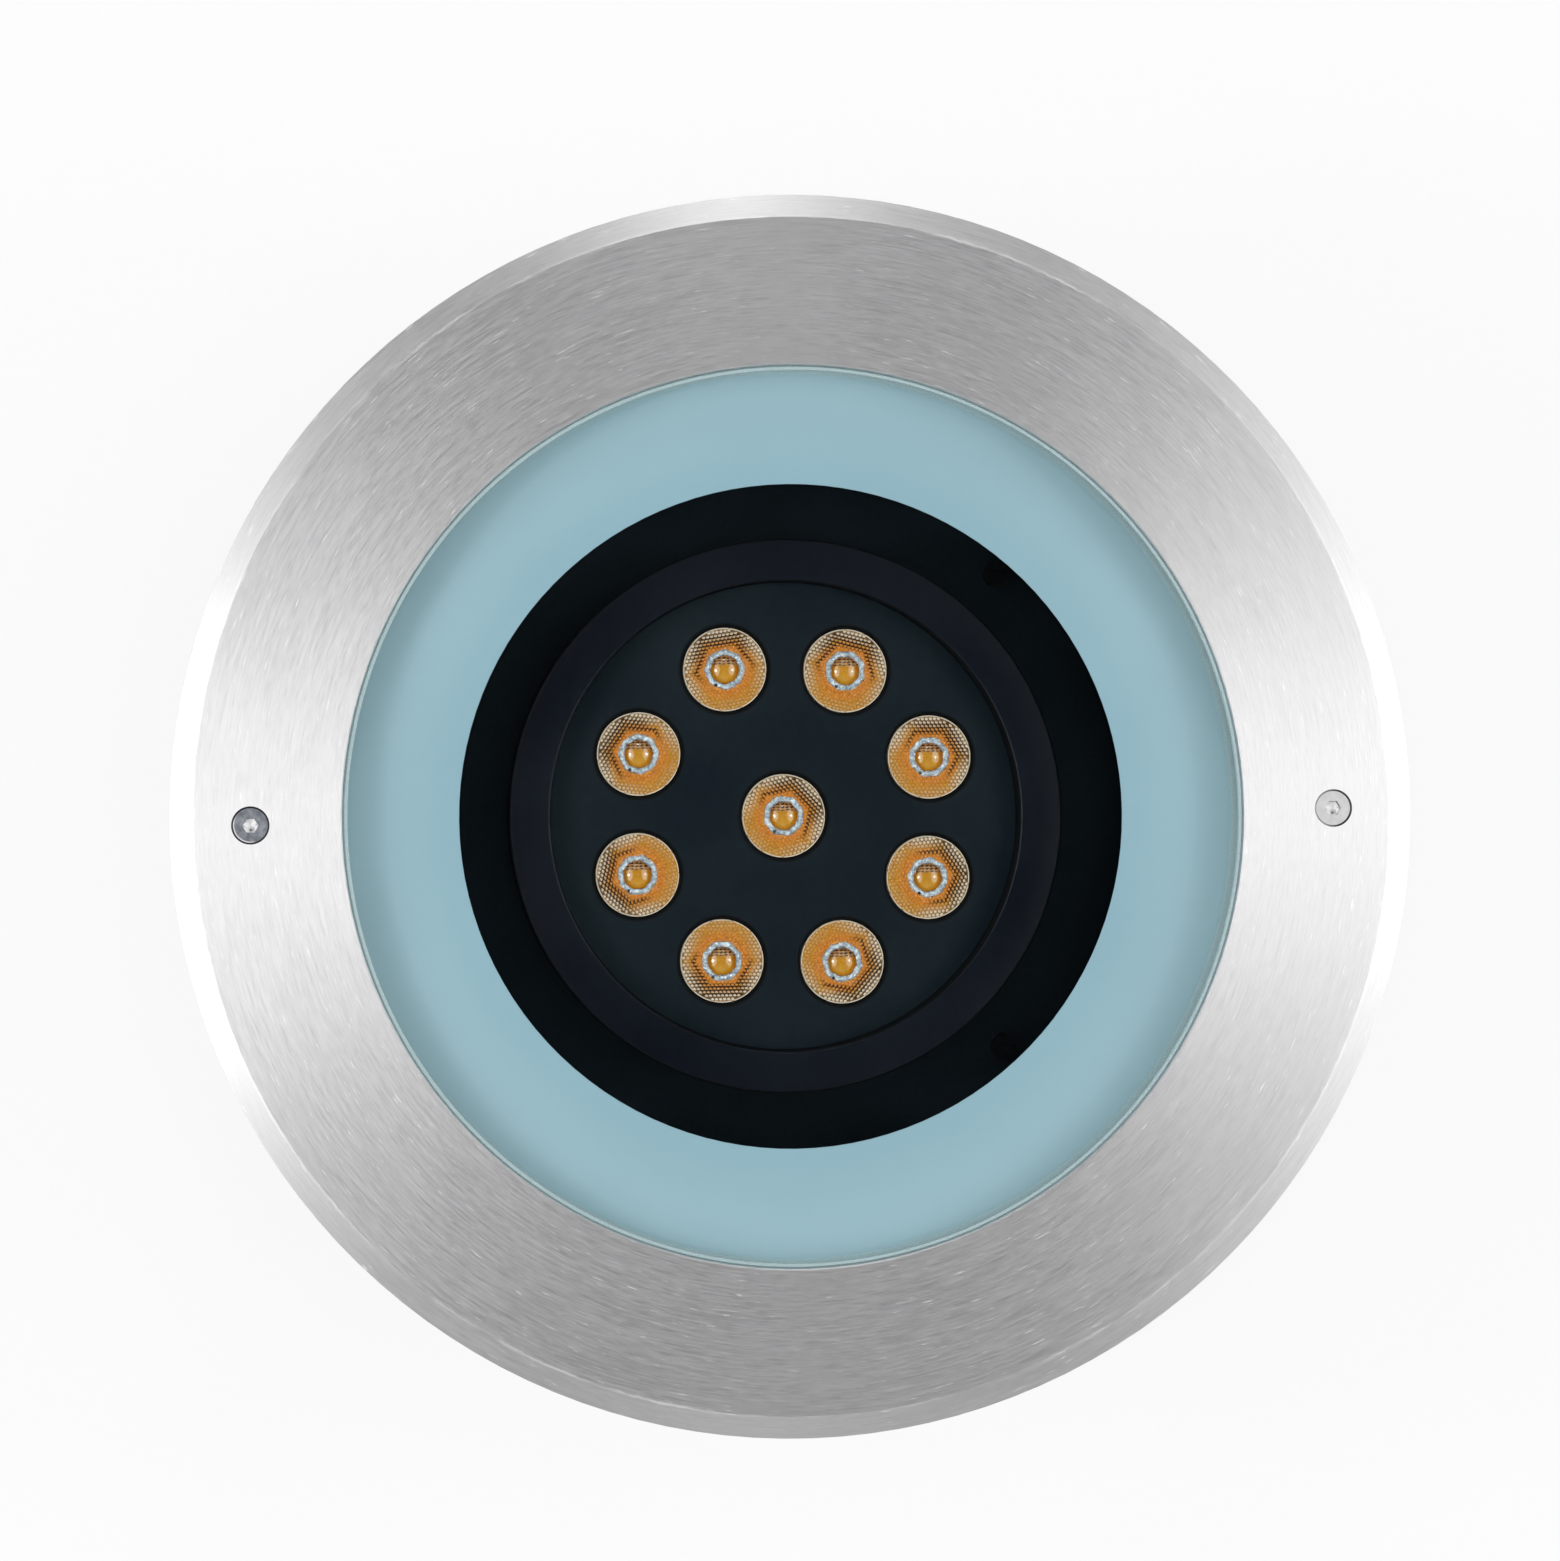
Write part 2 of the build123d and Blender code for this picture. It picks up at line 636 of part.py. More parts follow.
# ---------------------------------------------------------------- chassis plate and pan pivot
with BuildPart() as chassis_plate:
    with BuildSketch(Plane.XY.offset(chassis_bottom)):
        Circle(housing_bore_radius - chassis_gap)
        Circle(pan_bolt_radius + pan_bolt_fit, mode=Mode.SUBTRACT)
        with PolarLocations(housing_bore_radius - post_inset, post_count, start_angle=180 / post_count):
            Circle(small_screw_radius + screw_hole_gap, mode=Mode.SUBTRACT)
        with GridLocations(0, 2 * chassis_slot_circle, 1, 2):
            Circle(chassis_slot_radius, mode=Mode.SUBTRACT)
    extrude(amount=chassis_thickness)
save(chassis_plate.part, "chassis_plate")

with BuildPart() as chassis_screws:
    with PolarLocations(housing_bore_radius - post_inset, post_count, start_angle=180 / post_count):
        with Locations((0, 0, chassis_top)):
            Cylinder(
                small_screw_head_radius,
                small_screw_head_height,
                align=(Align.CENTER, Align.CENTER, Align.MIN),
            )
            Cylinder(
                small_screw_radius,
                chassis_thickness + chassis_screw_grip,
                align=(Align.CENTER, Align.CENTER, Align.MAX),
            )
    with BuildSketch(Plane.XY.offset(chassis_top + small_screw_head_height)):
        with PolarLocations(housing_bore_radius - post_inset, post_count, start_angle=180 / post_count):
            RegularPolygon(small_socket_flats / 2, 6, major_radius=False)
    extrude(amount=-small_socket_depth, mode=Mode.SUBTRACT)
save(chassis_screws.part, "chassis_screws")

with BuildPart() as pan_bolt:
    with BuildSketch(Plane.XY.offset(chassis_bottom)):
        RegularPolygon(pan_bolt_head_flats / 2, 6, major_radius=False)
    extrude(amount=-pan_bolt_head_height)
    with BuildSketch(Plane.XY.offset(chassis_bottom)):
        Circle(pan_bolt_radius)
    extrude(amount=pan_nut_top + pan_bolt_tail - chassis_bottom)
    with BuildSketch(Plane.XY.offset(chassis_bottom - pan_bolt_head_height)):
        Circle(pan_bolt_bore)
    extrude(amount=pan_nut_top + pan_bolt_tail - chassis_bottom + pan_bolt_head_height, mode=Mode.SUBTRACT)
save(pan_bolt.part, "pan_bolt")

with BuildPart() as pan_nut:
    with BuildSketch(Plane.XY.offset(pan_nut_bottom)):
        RegularPolygon(pan_nut_flats / 2, 6, major_radius=False)
        Circle(pan_bolt_radius + screw_hole_gap, mode=Mode.SUBTRACT)
    extrude(amount=pan_nut_height)
save(pan_nut.part, "pan_nut")

with BuildPart() as pan_washers:
    with BuildSketch(Plane.XY.offset(chassis_top), Plane.XY.offset(yoke_top)):
        Circle(pan_washer_radius)
        Circle(pan_bolt_radius + pan_bolt_fit, mode=Mode.SUBTRACT)
    extrude(amount=pan_washer_thickness)
save(pan_washers.part, "pan_washers")

# ---------------------------------------------------------------- yoke and tilt pivots
with BuildPart() as yoke:
    with BuildSketch(Plane.XZ):
        with BuildLine():
            Polyline(
                (-arm_outer_x, yoke_bottom),
                (arm_outer_x, yoke_bottom),
                (arm_outer_x, tilt_z + yoke_arm_half_width),
                (arm_inner_x, tilt_z + yoke_arm_half_width),
                (arm_inner_x, yoke_top),
                (-arm_inner_x, yoke_top),
                (-arm_inner_x, tilt_z + yoke_arm_half_width),
                (-arm_outer_x, tilt_z + yoke_arm_half_width),
                close=True,
            )
        make_face()
    extrude(amount=yoke_half_width, both=True)
    # seen along X the arms narrow to the tilt pivot and end round
    with BuildSketch(Plane.YZ.offset(-arm_outer_x)):
        with BuildLine():
            Polyline(
                (-yoke_half_width, yoke_bottom),
                (yoke_half_width, yoke_bottom),
                (yoke_half_width, yoke_top + yoke_bend_radius),
                (yoke_arm_half_width, tilt_z),
                (-yoke_arm_half_width, tilt_z),
                (-yoke_half_width, yoke_top + yoke_bend_radius),
                close=True,
            )
        make_face()
        with Locations((0, tilt_z)):
            Circle(yoke_arm_half_width)
    extrude(amount=2 * arm_outer_x, mode=Mode.INTERSECT)
    outer_bends = yoke.edges().filter_by(Axis.Y).group_by(Axis.Z)[0]
    fillet(outer_bends, radius=yoke_bend_radius)
    inner_bends = yoke.edges().filter_by(Axis.Y).filter_by_position(Axis.Z, yoke_top - 0.1, yoke_top + 0.1)
    fillet(inner_bends.group_by(SortBy.LENGTH)[-1], radius=yoke_inner_bend)
    with BuildSketch(Plane.YZ.offset(-arm_outer_x)):
        with Locations((0, tilt_z)):
            Circle(tilt_screw_radius + tilt_screw_fit)
    extrude(amount=2 * arm_outer_x, mode=Mode.SUBTRACT)
    with BuildSketch(Plane.XY.offset(yoke_bottom)):
        Circle(pan_bolt_radius + pan_bolt_fit)
    extrude(amount=yoke_thickness, mode=Mode.SUBTRACT)
save(yoke.part, "yoke")

with BuildPart() as tilt_washers:
    with BuildSketch(Plane.YZ.offset(skirt_radius), Plane.YZ.offset(-arm_inner_x)):
        with Locations((0, tilt_z)):
            Circle(tilt_washer_radius)
            Circle(tilt_screw_radius + tilt_screw_fit, mode=Mode.SUBTRACT)
    extrude(amount=tilt_washer_thickness)
save(tilt_washers.part, "tilt_washers")

with BuildPart() as tilt_screws:
    with BuildSketch(Plane.YZ.offset(arm_outer_x)):
        with Locations((0, tilt_z)):
            Circle(tilt_screw_head_radius)
    extrude(amount=tilt_screw_head_height)
    with BuildSketch(Plane.YZ.offset(skirt_radius - tilt_screw_grip)):
        with Locations((0, tilt_z)):
            Circle(tilt_screw_radius)
    extrude(amount=tilt_screw_grip + arm_outer_x - skirt_radius)
    with BuildSketch(Plane.YZ.offset(arm_outer_x + tilt_screw_head_height)):
        with Locations((0, tilt_z)):
            RegularPolygon(tilt_socket_flats / 2, 6, major_radius=False)
    extrude(amount=-tilt_socket_depth, mode=Mode.SUBTRACT)
    mirror(about=Plane.YZ)
save(tilt_screws.part, "tilt_screws")

# ---------------------------------------------------------------- lamp head
with BuildPart() as heat_sink:
    with BuildSketch(Plane.XY.offset(sink_base_bottom)):
        Circle(skirt_radius)
    extrude(amount=sink_base_thickness)
    with BuildSketch(Plane.XY.offset(sink_bottom)):
        with GridLocations(sink_fin_pitch, 0, sink_fin_count, 1):
            Rectangle(sink_fin_thickness, 2 * sink_fin_radius)
        Circle(sink_fin_radius, mode=Mode.INTERSECT)
    extrude(amount=sink_base_bottom - sink_bottom)
    with BuildSketch(Plane.XY.offset(tilt_z - sink_lug_drop)):
        with GridLocations(2 * skirt_radius - sink_lug_depth, 0, 2, 1):
            Rectangle(sink_lug_depth, 2 * sink_lug_half_width)
    extrude(amount=sink_top - tilt_z + sink_lug_drop)
    with BuildSketch(Plane.YZ.offset(-skirt_radius)):
        with Locations((0, tilt_z)):
            Circle(tilt_screw_radius + screw_hole_gap)
    extrude(amount=tilt_screw_grip + drill_point, mode=Mode.SUBTRACT)
    with BuildSketch(Plane.YZ.offset(skirt_radius)):
        with Locations((0, tilt_z)):
            Circle(tilt_screw_radius + screw_hole_gap)
    extrude(amount=-(tilt_screw_grip + drill_point), mode=Mode.SUBTRACT)
save(heat_sink.part, "heat_sink")

with BuildPart() as thermal_pad:
    with BuildSketch(Plane.XY.offset(sink_top)):
        Circle(skirt_inner_radius - board_gap)
    extrude(amount=pad_thickness)
save(thermal_pad.part, "thermal_pad")

with BuildPart() as led_board:
    with BuildSketch(Plane.XY.offset(board_bottom)):
        Circle(skirt_inner_radius - board_gap)
    extrude(amount=board_thickness)
save(led_board.part, "led_board")

with BuildPart() as led_packages:
    with BuildSketch(Plane.XY.offset(board_top)):
        Rectangle(led_package_size, led_package_size)
        with PolarLocations(lens_circle, lens_count, start_angle=lens_start_angle):
            Rectangle(led_package_size, led_package_size)
    extrude(amount=led_package_thickness)
save(led_packages.part, "led_packages")

with BuildPart() as led_domes:
    with BuildSketch(Plane.XZ):
        with Locations((0, board_top + led_package_thickness)):
            Circle(led_dome_radius)
            Rectangle(
                2 * led_dome_radius,
                led_dome_radius,
                align=(Align.CENTER, Align.MAX),
                mode=Mode.SUBTRACT,
            )
            Rectangle(
                led_dome_radius,
                led_dome_radius,
                align=(Align.MAX, Align.MIN),
                mode=Mode.SUBTRACT,
            )
    revolve(axis=Axis.Z)
    middle_dome = led_domes.part
    with PolarLocations(lens_circle, lens_count, start_angle=lens_start_angle):
        add(middle_dome)
save(led_domes.part, "led_domes")

with BuildPart() as lens_plate:
    with BuildSketch(Plane.XY.offset(plate_bottom)):
        Circle(plate_radius)
        Circle(lens_radius + lens_hole_gap, mode=Mode.SUBTRACT)
        with PolarLocations(lens_circle, lens_count, start_angle=lens_start_angle):
            Circle(lens_radius + lens_hole_gap, mode=Mode.SUBTRACT)
    extrude(amount=plate_thickness)
    lips = lens_plate.edges().filter_by(GeomType.CIRCLE).group_by(Axis.Z)[-1].sort_by(SortBy.RADIUS)[:-1]
    fillet(lips, radius=lens_hole_round)
save(lens_plate.part, "lens_plate")

with BuildPart() as lens_plate_standoffs:
    with BuildSketch(Plane.XY.offset(board_top)):
        with PolarLocations(standoff_circle, lens_count, start_angle=lens_start_angle + 180 / lens_count):
            Circle(standoff_radius)
    extrude(amount=plate_bottom - board_top)
save(lens_plate_standoffs.part, "lens_plate_standoffs")

with BuildPart() as head_ring:
    with BuildSketch(Plane.XZ):
        with BuildLine():
            Polyline(
                (skirt_inner_radius, sink_top),
                (skirt_radius, sink_top),
                (skirt_radius, rim_bottom),
                (head_radius, rim_bottom),
                (head_radius, head_top),
                (head_bore_radius, head_top),
                (head_bore_radius, plate_bottom),
                (skirt_inner_radius, plate_bottom),
                close=True,
            )
        make_face()
    revolve(axis=Axis.Z)
    top_edges = head_ring.edges().filter_by(GeomType.CIRCLE).group_by(Axis.Z)[-1].sort_by(SortBy.RADIUS)
    fillet(top_edges[-1], radius=rim_outer_round)
    fillet(top_edges[0], radius=rim_inner_round)
save(head_ring.part, "head_ring")

# the dome in the well is a cap of a ball
lens_dome_base = lens_well_radius - lens_well_gap
dome_curve = (lens_dome_base**2 + lens_dome_height**2) / (2 * lens_dome_height)
dome_half = asin(lens_dome_base / dome_curve) / 2
dome_top = lens_face - lens_well_depth + lens_dome_height
lens_spots = [(0, 0, 0)]
for place in PolarLocations(lens_circle, lens_count, start_angle=lens_start_angle):
    lens_spots.append(place.position)
for number, spot in enumerate(lens_spots):
    with BuildPart() as lens:
        with BuildSketch(Plane.XZ):
            with BuildLine():
                Polyline(
                    (0, board_top + lens_cavity_height),
                    (lens_cavity_radius, board_top + lens_cavity_height),
                    (lens_cavity_radius, board_top),
                    (lens_foot_radius, board_top),
                    (lens_radius - lens_cone_inset, lens_flange_bottom),
                    (lens_flange_radius, lens_flange_bottom),
                    (lens_flange_radius, plate_bottom),
                    (lens_radius, plate_bottom),
                    (lens_radius, lens_face),
                    (lens_well_radius, lens_face),
                    (lens_well_radius, lens_face - lens_well_depth),
                    (lens_dome_base, lens_face - lens_well_depth),
                )
                ThreePointArc(
                    (lens_dome_base, dome_top - lens_dome_height),
                    (dome_curve * sin(dome_half), dome_top - dome_curve * (1 - cos(dome_half))),
                    (0, dome_top),
                )
                Line((0, dome_top), (0, board_top + lens_cavity_height))
            make_face()
        revolve(axis=Axis.Z)
    name = "lens_middle" if number == 0 else f"lens_{number}"
    save(Pos(*spot) * lens.part, name)

# ---------------------------------------------------------------- driver
case_top = floor_top + driver_height
driver_post_inset = driver_wall + driver_post_radius - rib_root
with BuildPart() as driver_case:
    with BuildSketch(Plane.XY.offset(floor_top)):
        with Locations((0, driver_y)):
            RectangleRounded(driver_length, driver_width, driver_wall)
    extrude(amount=driver_height)
    with BuildSketch(Plane.XY.offset(floor_top + driver_wall)):
        with Locations((0, driver_y)):
            Rectangle(driver_length - 2 * driver_wall, driver_width - 2 * driver_wall)
    extrude(amount=driver_height - driver_wall, mode=Mode.SUBTRACT)
    with BuildSketch(Plane.XY.offset(floor_top + driver_wall)):
        with Locations((0, driver_y)):
            with GridLocations(
                driver_length - 2 * driver_post_inset,
                driver_width - 2 * driver_post_inset,
                2,
                2,
            ):
                Circle(driver_post_radius)
                Circle(driver_screw_radius + screw_hole_gap, mode=Mode.SUBTRACT)
    extrude(amount=driver_height - driver_wall)
save(driver_case.part, "driver_case")

with BuildPart() as driver_lid:
    with BuildSketch(Plane.XY.offset(case_top)):
        with Locations((0, driver_y)):
            RectangleRounded(driver_length, driver_width, driver_wall)
            with GridLocations(
                driver_length - 2 * driver_post_inset,
                driver_width - 2 * driver_post_inset,
                2,
                2,
            ):
                Circle(driver_screw_radius + screw_hole_gap, mode=Mode.SUBTRACT)
    extrude(amount=driver_lid_thickness)
save(driver_lid.part, "driver_lid")

with BuildPart() as driver_board:
    with BuildSketch(Plane.XY.offset(floor_top + driver_wall)):
        with Locations((0, driver_y)):
            Rectangle(
                driver_length - 2 * (driver_wall + driver_board_gap),
                driver_width - 2 * (driver_wall + 2 * driver_post_radius + driver_board_gap),
            )
    extrude(amount=driver_board_thickness)
    with BuildSketch(Plane.XY.offset(floor_top + driver_wall + driver_board_thickness)):
        with Locations((-driver_part_x, driver_y), (driver_part_x, driver_y)):
            Rectangle(driver_part_length, driver_part_width)
        with Locations((0, driver_y)):
            Circle(driver_coil_radius)
    extrude(amount=driver_part_height)
save(driver_board.part, "driver_board")

with BuildPart() as driver_screws:
    with Locations((0, driver_y, case_top + driver_lid_thickness)):
        with GridLocations(
            driver_length - 2 * driver_post_inset,
            driver_width - 2 * driver_post_inset,
            2,
            2,
        ):
            Cylinder(
                driver_screw_head_radius,
                driver_screw_head_height,
                align=(Align.CENTER, Align.CENTER, Align.MIN),
            )
            Cylinder(
                driver_screw_radius,
                driver_screw_length,
                align=(Align.CENTER, Align.CENTER, Align.MAX),
            )
save(driver_screws.part, "driver_screws")

# ---------------------------------------------------------------- terminals
with BuildPart() as terminal_block:
    with BuildSketch(Plane.XY.offset(floor_top)):
        with Locations((0, terminal_y)):
            Rectangle(terminal_length, terminal_width)
    extrude(amount=terminal_height)
    with BuildSketch(Plane.XZ.offset(terminal_width / 2 - terminal_y)):
        with Locations((0, floor_top + terminal_port_height)):
            with GridLocations(terminal_pitch, 0, terminal_ways, 1):
                Circle(terminal_port_radius)
    extrude(amount=-terminal_width, mode=Mode.SUBTRACT)
    with BuildSketch(Plane.XY.offset(floor_top + terminal_height)):
        with Locations((0, terminal_y)):
            with GridLocations(terminal_pitch, 0, terminal_ways, 1):
                Circle(terminal_screw_radius + screw_hole_gap)
    extrude(amount=-terminal_screw_depth, mode=Mode.SUBTRACT)
save(terminal_block.part, "terminal_block")

with BuildPart() as terminal_screws:
    with BuildSketch(Plane.XY.offset(floor_top + terminal_height - terminal_screw_depth)):
        with Locations((0, terminal_y)):
            with GridLocations(terminal_pitch, 0, terminal_ways, 1):
                Circle(terminal_screw_radius)
    extrude(amount=terminal_screw_depth - terminal_screw_recess)
save(terminal_screws.part, "terminal_screws")

with BuildPart() as earth_screw:
    with Locations((earth_x, earth_y, floor_top + earth_boss_height)):
        Cylinder(
            small_screw_head_radius,
            small_screw_head_height,
            align=(Align.CENTER, Align.CENTER, Align.MIN),
        )
        Cylinder(
            small_screw_radius,
            earth_boss_height - drill_point,
            align=(Align.CENTER, Align.CENTER, Align.MAX),
        )
save(earth_screw.part, "earth_screw")

# ---------------------------------------------------------------- cable glands and vent
for side, gland_x in (("left", -gland_spacing / 2), ("right", gland_spacing / 2)):
    spot = Location((gland_x, gland_y, 0))
    with BuildPart() as gland_body:
        with BuildSketch(Plane.XY.offset(gland_hex_bottom)):
            RegularPolygon(gland_hex_flats / 2, 6, major_radius=False)
        extrude(amount=gland_hex_thickness)
        with BuildSketch(Plane.XY.offset(gland_bottom)):
            Circle(gland_thread_radius)
        extrude(amount=gland_inner_length)
        with BuildSketch(Plane.XY.offset(gland_hex_bottom)):
            Circle(gland_body_radius)
        extrude(amount=-gland_outer_length)
        with BuildSketch(Plane.XY.offset(collet_bottom)):
            Circle(gland_bore_radius)
        extrude(amount=gland_outer_length + gland_hex_thickness + gland_inner_length, mode=Mode.SUBTRACT)
    save(spot * gland_body.part, f"gland_body_{side}")

    with BuildPart() as gland_seal:
        with BuildSketch(Plane.XZ):
            with BuildLine():
                Polyline(
                    (gland_cable_radius, collet_bottom - gland_seal_lip),
                    (gland_body_radius, collet_bottom - gland_seal_lip),
                    (gland_body_radius, collet_bottom),
                    (gland_bore_radius, collet_bottom),
                    (gland_bore_radius, gland_hex_bottom),
                    (gland_cable_radius, gland_hex_bottom),
                    close=True,
                )
            make_face()
        revolve(axis=Axis.Z)
    save(spot * gland_seal.part, f"gland_seal_{side}")

    with BuildPart() as gland_dome_nut:
        with BuildSketch(Plane.XY.offset(gland_nut_top)):
            RegularPolygon(max(gland_nut_flats / 2, gland_nut_radius), 6, major_radius=False)
        extrude(amount=-gland_nut_hex_length)
        with BuildSketch(Plane.XY.offset(gland_nut_bottom)):
            Circle(gland_nut_radius)
        extrude(amount=gland_nut_length)
        fillet(
            gland_dome_nut.faces().sort_by(Axis.Z)[0].outer_wire().edges(),
            radius=gland_nut_round,
        )
        with BuildSketch(Plane.XY.offset(collet_bottom - gland_seal_lip)):
            Circle(gland_body_radius + screw_hole_gap)
        extrude(amount=gland_nut_top - collet_bottom + gland_seal_lip, mode=Mode.SUBTRACT)
        with BuildSketch(Plane.XY.offset(gland_nut_bottom)):
            Circle(gland_cable_radius + gland_nut_mouth)
        extrude(amount=gland_nut_length, mode=Mode.SUBTRACT)
    save(spot * gland_dome_nut.part, f"gland_dome_nut_{side}")

with BuildPart() as gland_lock_nuts:
    with BuildSketch(Plane.XY.offset(floor_top)):
        with Locations((-gland_spacing / 2, gland_y), (gland_spacing / 2, gland_y)):
            RegularPolygon(lock_nut_flats / 2, 6, major_radius=False)
            Circle(gland_thread_radius + screw_hole_gap, mode=Mode.SUBTRACT)
    extrude(amount=lock_nut_thickness)
save(gland_lock_nuts.part, "gland_lock_nuts")

with BuildPart() as gland_washers:
    with BuildSketch(Plane.XY.offset(gland_bottom)):
        with Locations((-gland_spacing / 2, gland_y), (gland_spacing / 2, gland_y)):
            Circle(gland_thread_radius + gland_washer_width)
            Circle(gland_thread_radius + screw_hole_gap, mode=Mode.SUBTRACT)
    extrude(amount=gland_washer_thickness)
save(gland_washers.part, "gland_washers")

with BuildPart() as vent_plug:
    with BuildSketch(Plane.XY.offset(housing_bottom)):
        with Locations((0, vent_y)):
            Circle(vent_cap_radius)
    extrude(amount=-vent_cap_height)
    fillet(vent_plug.faces().sort_by(Axis.Z)[0].edges(), radius=vent_cap_round)
    with BuildSketch(Plane.XY.offset(housing_bottom)):
        with Locations((0, vent_y)):
            Circle(vent_stem_radius)
    extrude(amount=vent_stem_length)
save(vent_plug.part, "vent_plug")

print(f"bezel diameter {2 * bezel_radius:.2f}, height {bezel_face:.2f}, ground {ground:.3f}")
print(f"tilt axis {tilt_z:.3f}, head top {head_top:.3f}, lens face {lens_face:.3f}")
print(f"glass face {glass_face:.3f}, border {border_bottom:.3f}, housing bore {housing_bore_radius:.2f}")
print(f"foot holes on {2 * foot_hole_circle:.2f}, hub height {hub_z:.2f}, hub face {hub_face_y:.2f}")
print(f"seal from {collet_bottom - gland_seal_lip:.2f} to {gland_hex_bottom:.2f}")
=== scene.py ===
import math

import bpy
from mathutils import Matrix, Vector


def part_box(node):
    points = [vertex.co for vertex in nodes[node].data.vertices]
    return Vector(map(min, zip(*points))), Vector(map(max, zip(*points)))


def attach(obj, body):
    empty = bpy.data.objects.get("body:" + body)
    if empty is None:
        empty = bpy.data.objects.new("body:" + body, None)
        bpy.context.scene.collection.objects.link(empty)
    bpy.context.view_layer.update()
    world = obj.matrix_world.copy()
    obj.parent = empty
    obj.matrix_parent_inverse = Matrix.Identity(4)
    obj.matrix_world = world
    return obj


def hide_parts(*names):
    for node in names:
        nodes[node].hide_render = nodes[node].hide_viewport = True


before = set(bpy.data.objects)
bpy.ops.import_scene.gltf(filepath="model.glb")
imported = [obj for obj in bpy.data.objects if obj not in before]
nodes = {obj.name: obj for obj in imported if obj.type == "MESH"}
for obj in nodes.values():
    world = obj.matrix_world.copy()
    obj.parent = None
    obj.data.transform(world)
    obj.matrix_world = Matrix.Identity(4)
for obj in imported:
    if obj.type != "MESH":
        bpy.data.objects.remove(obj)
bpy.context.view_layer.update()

MM = 0.001
ORIGIN = (0.0, 0.0, 0.0)

# Sizes of the solids that the finishes follow.
BEZEL_SCREW_CIRCLE = 130.8 * MM
BEZEL_SCREW_TOP = 209.581 * MM
BEZEL_BEVEL_RADIUS = 144.5 * MM
BEZEL_SINK_RADIUS = 4.55 * MM
SCREW_HEAD_RADIUS = 4.15 * MM
SOCKET_HALF_FLATS = 1.7 * MM
LENS_HOLE_EDGE = 11.5 * MM


# ---------------------------------------------------------------- camera

PHOTO_WIDTH = 1560
SENSOR_WIDTH = 36.0
FOCAL_PIXELS = 5375.0
CAMERA_PLACE = Vector((-0.102, 0.0086, 1.5))
CAMERA_AIM = Vector((-0.00373, 0.00877, 0.20998))
PICTURE_UP = Vector((0.01565, 0.99988, 0.0))


def place_camera():
    lens_data = bpy.data.cameras.new("photo_camera")
    lens_data.sensor_fit = "HORIZONTAL"
    lens_data.sensor_width = SENSOR_WIDTH
    lens_data.lens = SENSOR_WIDTH * FOCAL_PIXELS / PHOTO_WIDTH
    lens_data.clip_start = 10.0 * MM
    camera = bpy.data.objects.new("photo_camera", lens_data)
    bpy.context.scene.collection.objects.link(camera)
    look = (CAMERA_AIM - CAMERA_PLACE).normalized()
    right = look.cross(PICTURE_UP).normalized()
    up = right.cross(look)
    turn = Matrix((right, up, -look)).transposed().to_4x4()
    camera.matrix_world = Matrix.Translation(CAMERA_PLACE) @ turn
    bpy.context.scene.camera = camera


# ---------------------------------------------------------------- node helpers

def put(tree, kind, inputs=None, **settings):
    """Adds a node; an input is a number, a colour or the socket that feeds it."""
    made = tree.nodes.new(kind)
    for name, value in settings.items():
        setattr(made, name, value)
    for name, value in (inputs or {}).items():
        socket = made.inputs[name]
        if isinstance(value, bpy.types.NodeSocket):
            tree.links.new(value, socket)
        else:
            socket.default_value = value
    return made


def calc(tree, operation, first, second=0.0, clamp=False):
    """One step of arithmetic on two numbers."""
    made = put(tree, "ShaderNodeMath", {0: first, 1: second}, operation=operation, use_clamp=clamp)
    return made.outputs[0]


def times(tree, first, second):
    return calc(tree, "MULTIPLY", first, second)


def mean_of(tree, first, second, share):
    """The weighted mean of two values; share is the first one's weight."""
    return calc(tree, "ADD", times(tree, first, share), times(tree, second, 1.0 - share))


def vector_calc(tree, operation, first, second=ORIGIN, output="Vector"):
    made = put(tree, "ShaderNodeVectorMath", {0: first, 1: second}, operation=operation)
    return made.outputs[output]


def distance(tree, place, centre=ORIGIN):
    return vector_calc(tree, "DISTANCE", place, centre, "Value")


def flattened(tree, place):
    return vector_calc(tree, "MULTIPLY", place, (1.0, 1.0, 0.0))


def parts_of(tree, vector):
    return put(tree, "ShaderNodeSeparateXYZ", {"Vector": vector}).outputs


def mapped(tree, name):
    return put(tree, "ShaderNodeUVMap", uv_map=name).outputs["UV"]


def from_half(tree, value):
    """A value of a map, 0 to 1, as a place from -1 to 1."""
    return calc(tree, "SUBTRACT", times(tree, value, 2.0), 1.0)


def fade(tree, value, start, end, low=0.0, high=1.0):
    """Smooth step of a value, from low at start to high at end."""
    made = put(tree, "ShaderNodeMapRange",
               {"Value": value, "From Min": start, "From Max": end, "To Min": low, "To Max": high},
               interpolation_type="SMOOTHSTEP")
    return made.outputs["Result"]


def spread(tree, pattern, low, high):
    """A noise, which mostly runs from 0.3 to 0.7, spread over a range."""
    return fade(tree, pattern, 0.3, 0.7, low, high)


def rgba(colour):
    return (*colour, 1.0)


def blend_colours(tree, factor, first, second, mode="MIX"):
    made = tree.nodes.new("ShaderNodeMix")
    made.data_type = "RGBA"
    made.blend_type = mode
    for name, value in (("Factor_Float", factor), ("A_Color", first), ("B_Color", second)):
        socket = next(s for s in made.inputs if s.identifier == name)
        if isinstance(value, bpy.types.NodeSocket):
            tree.links.new(value, socket)
        elif name == "Factor_Float":
            socket.default_value = value
        else:
            socket.default_value = rgba(value)
    return next(s for s in made.outputs if s.identifier == "Result_Color")


def product_of(tree, first, second):
    return blend_colours(tree, 1.0, first, second, "MULTIPLY")


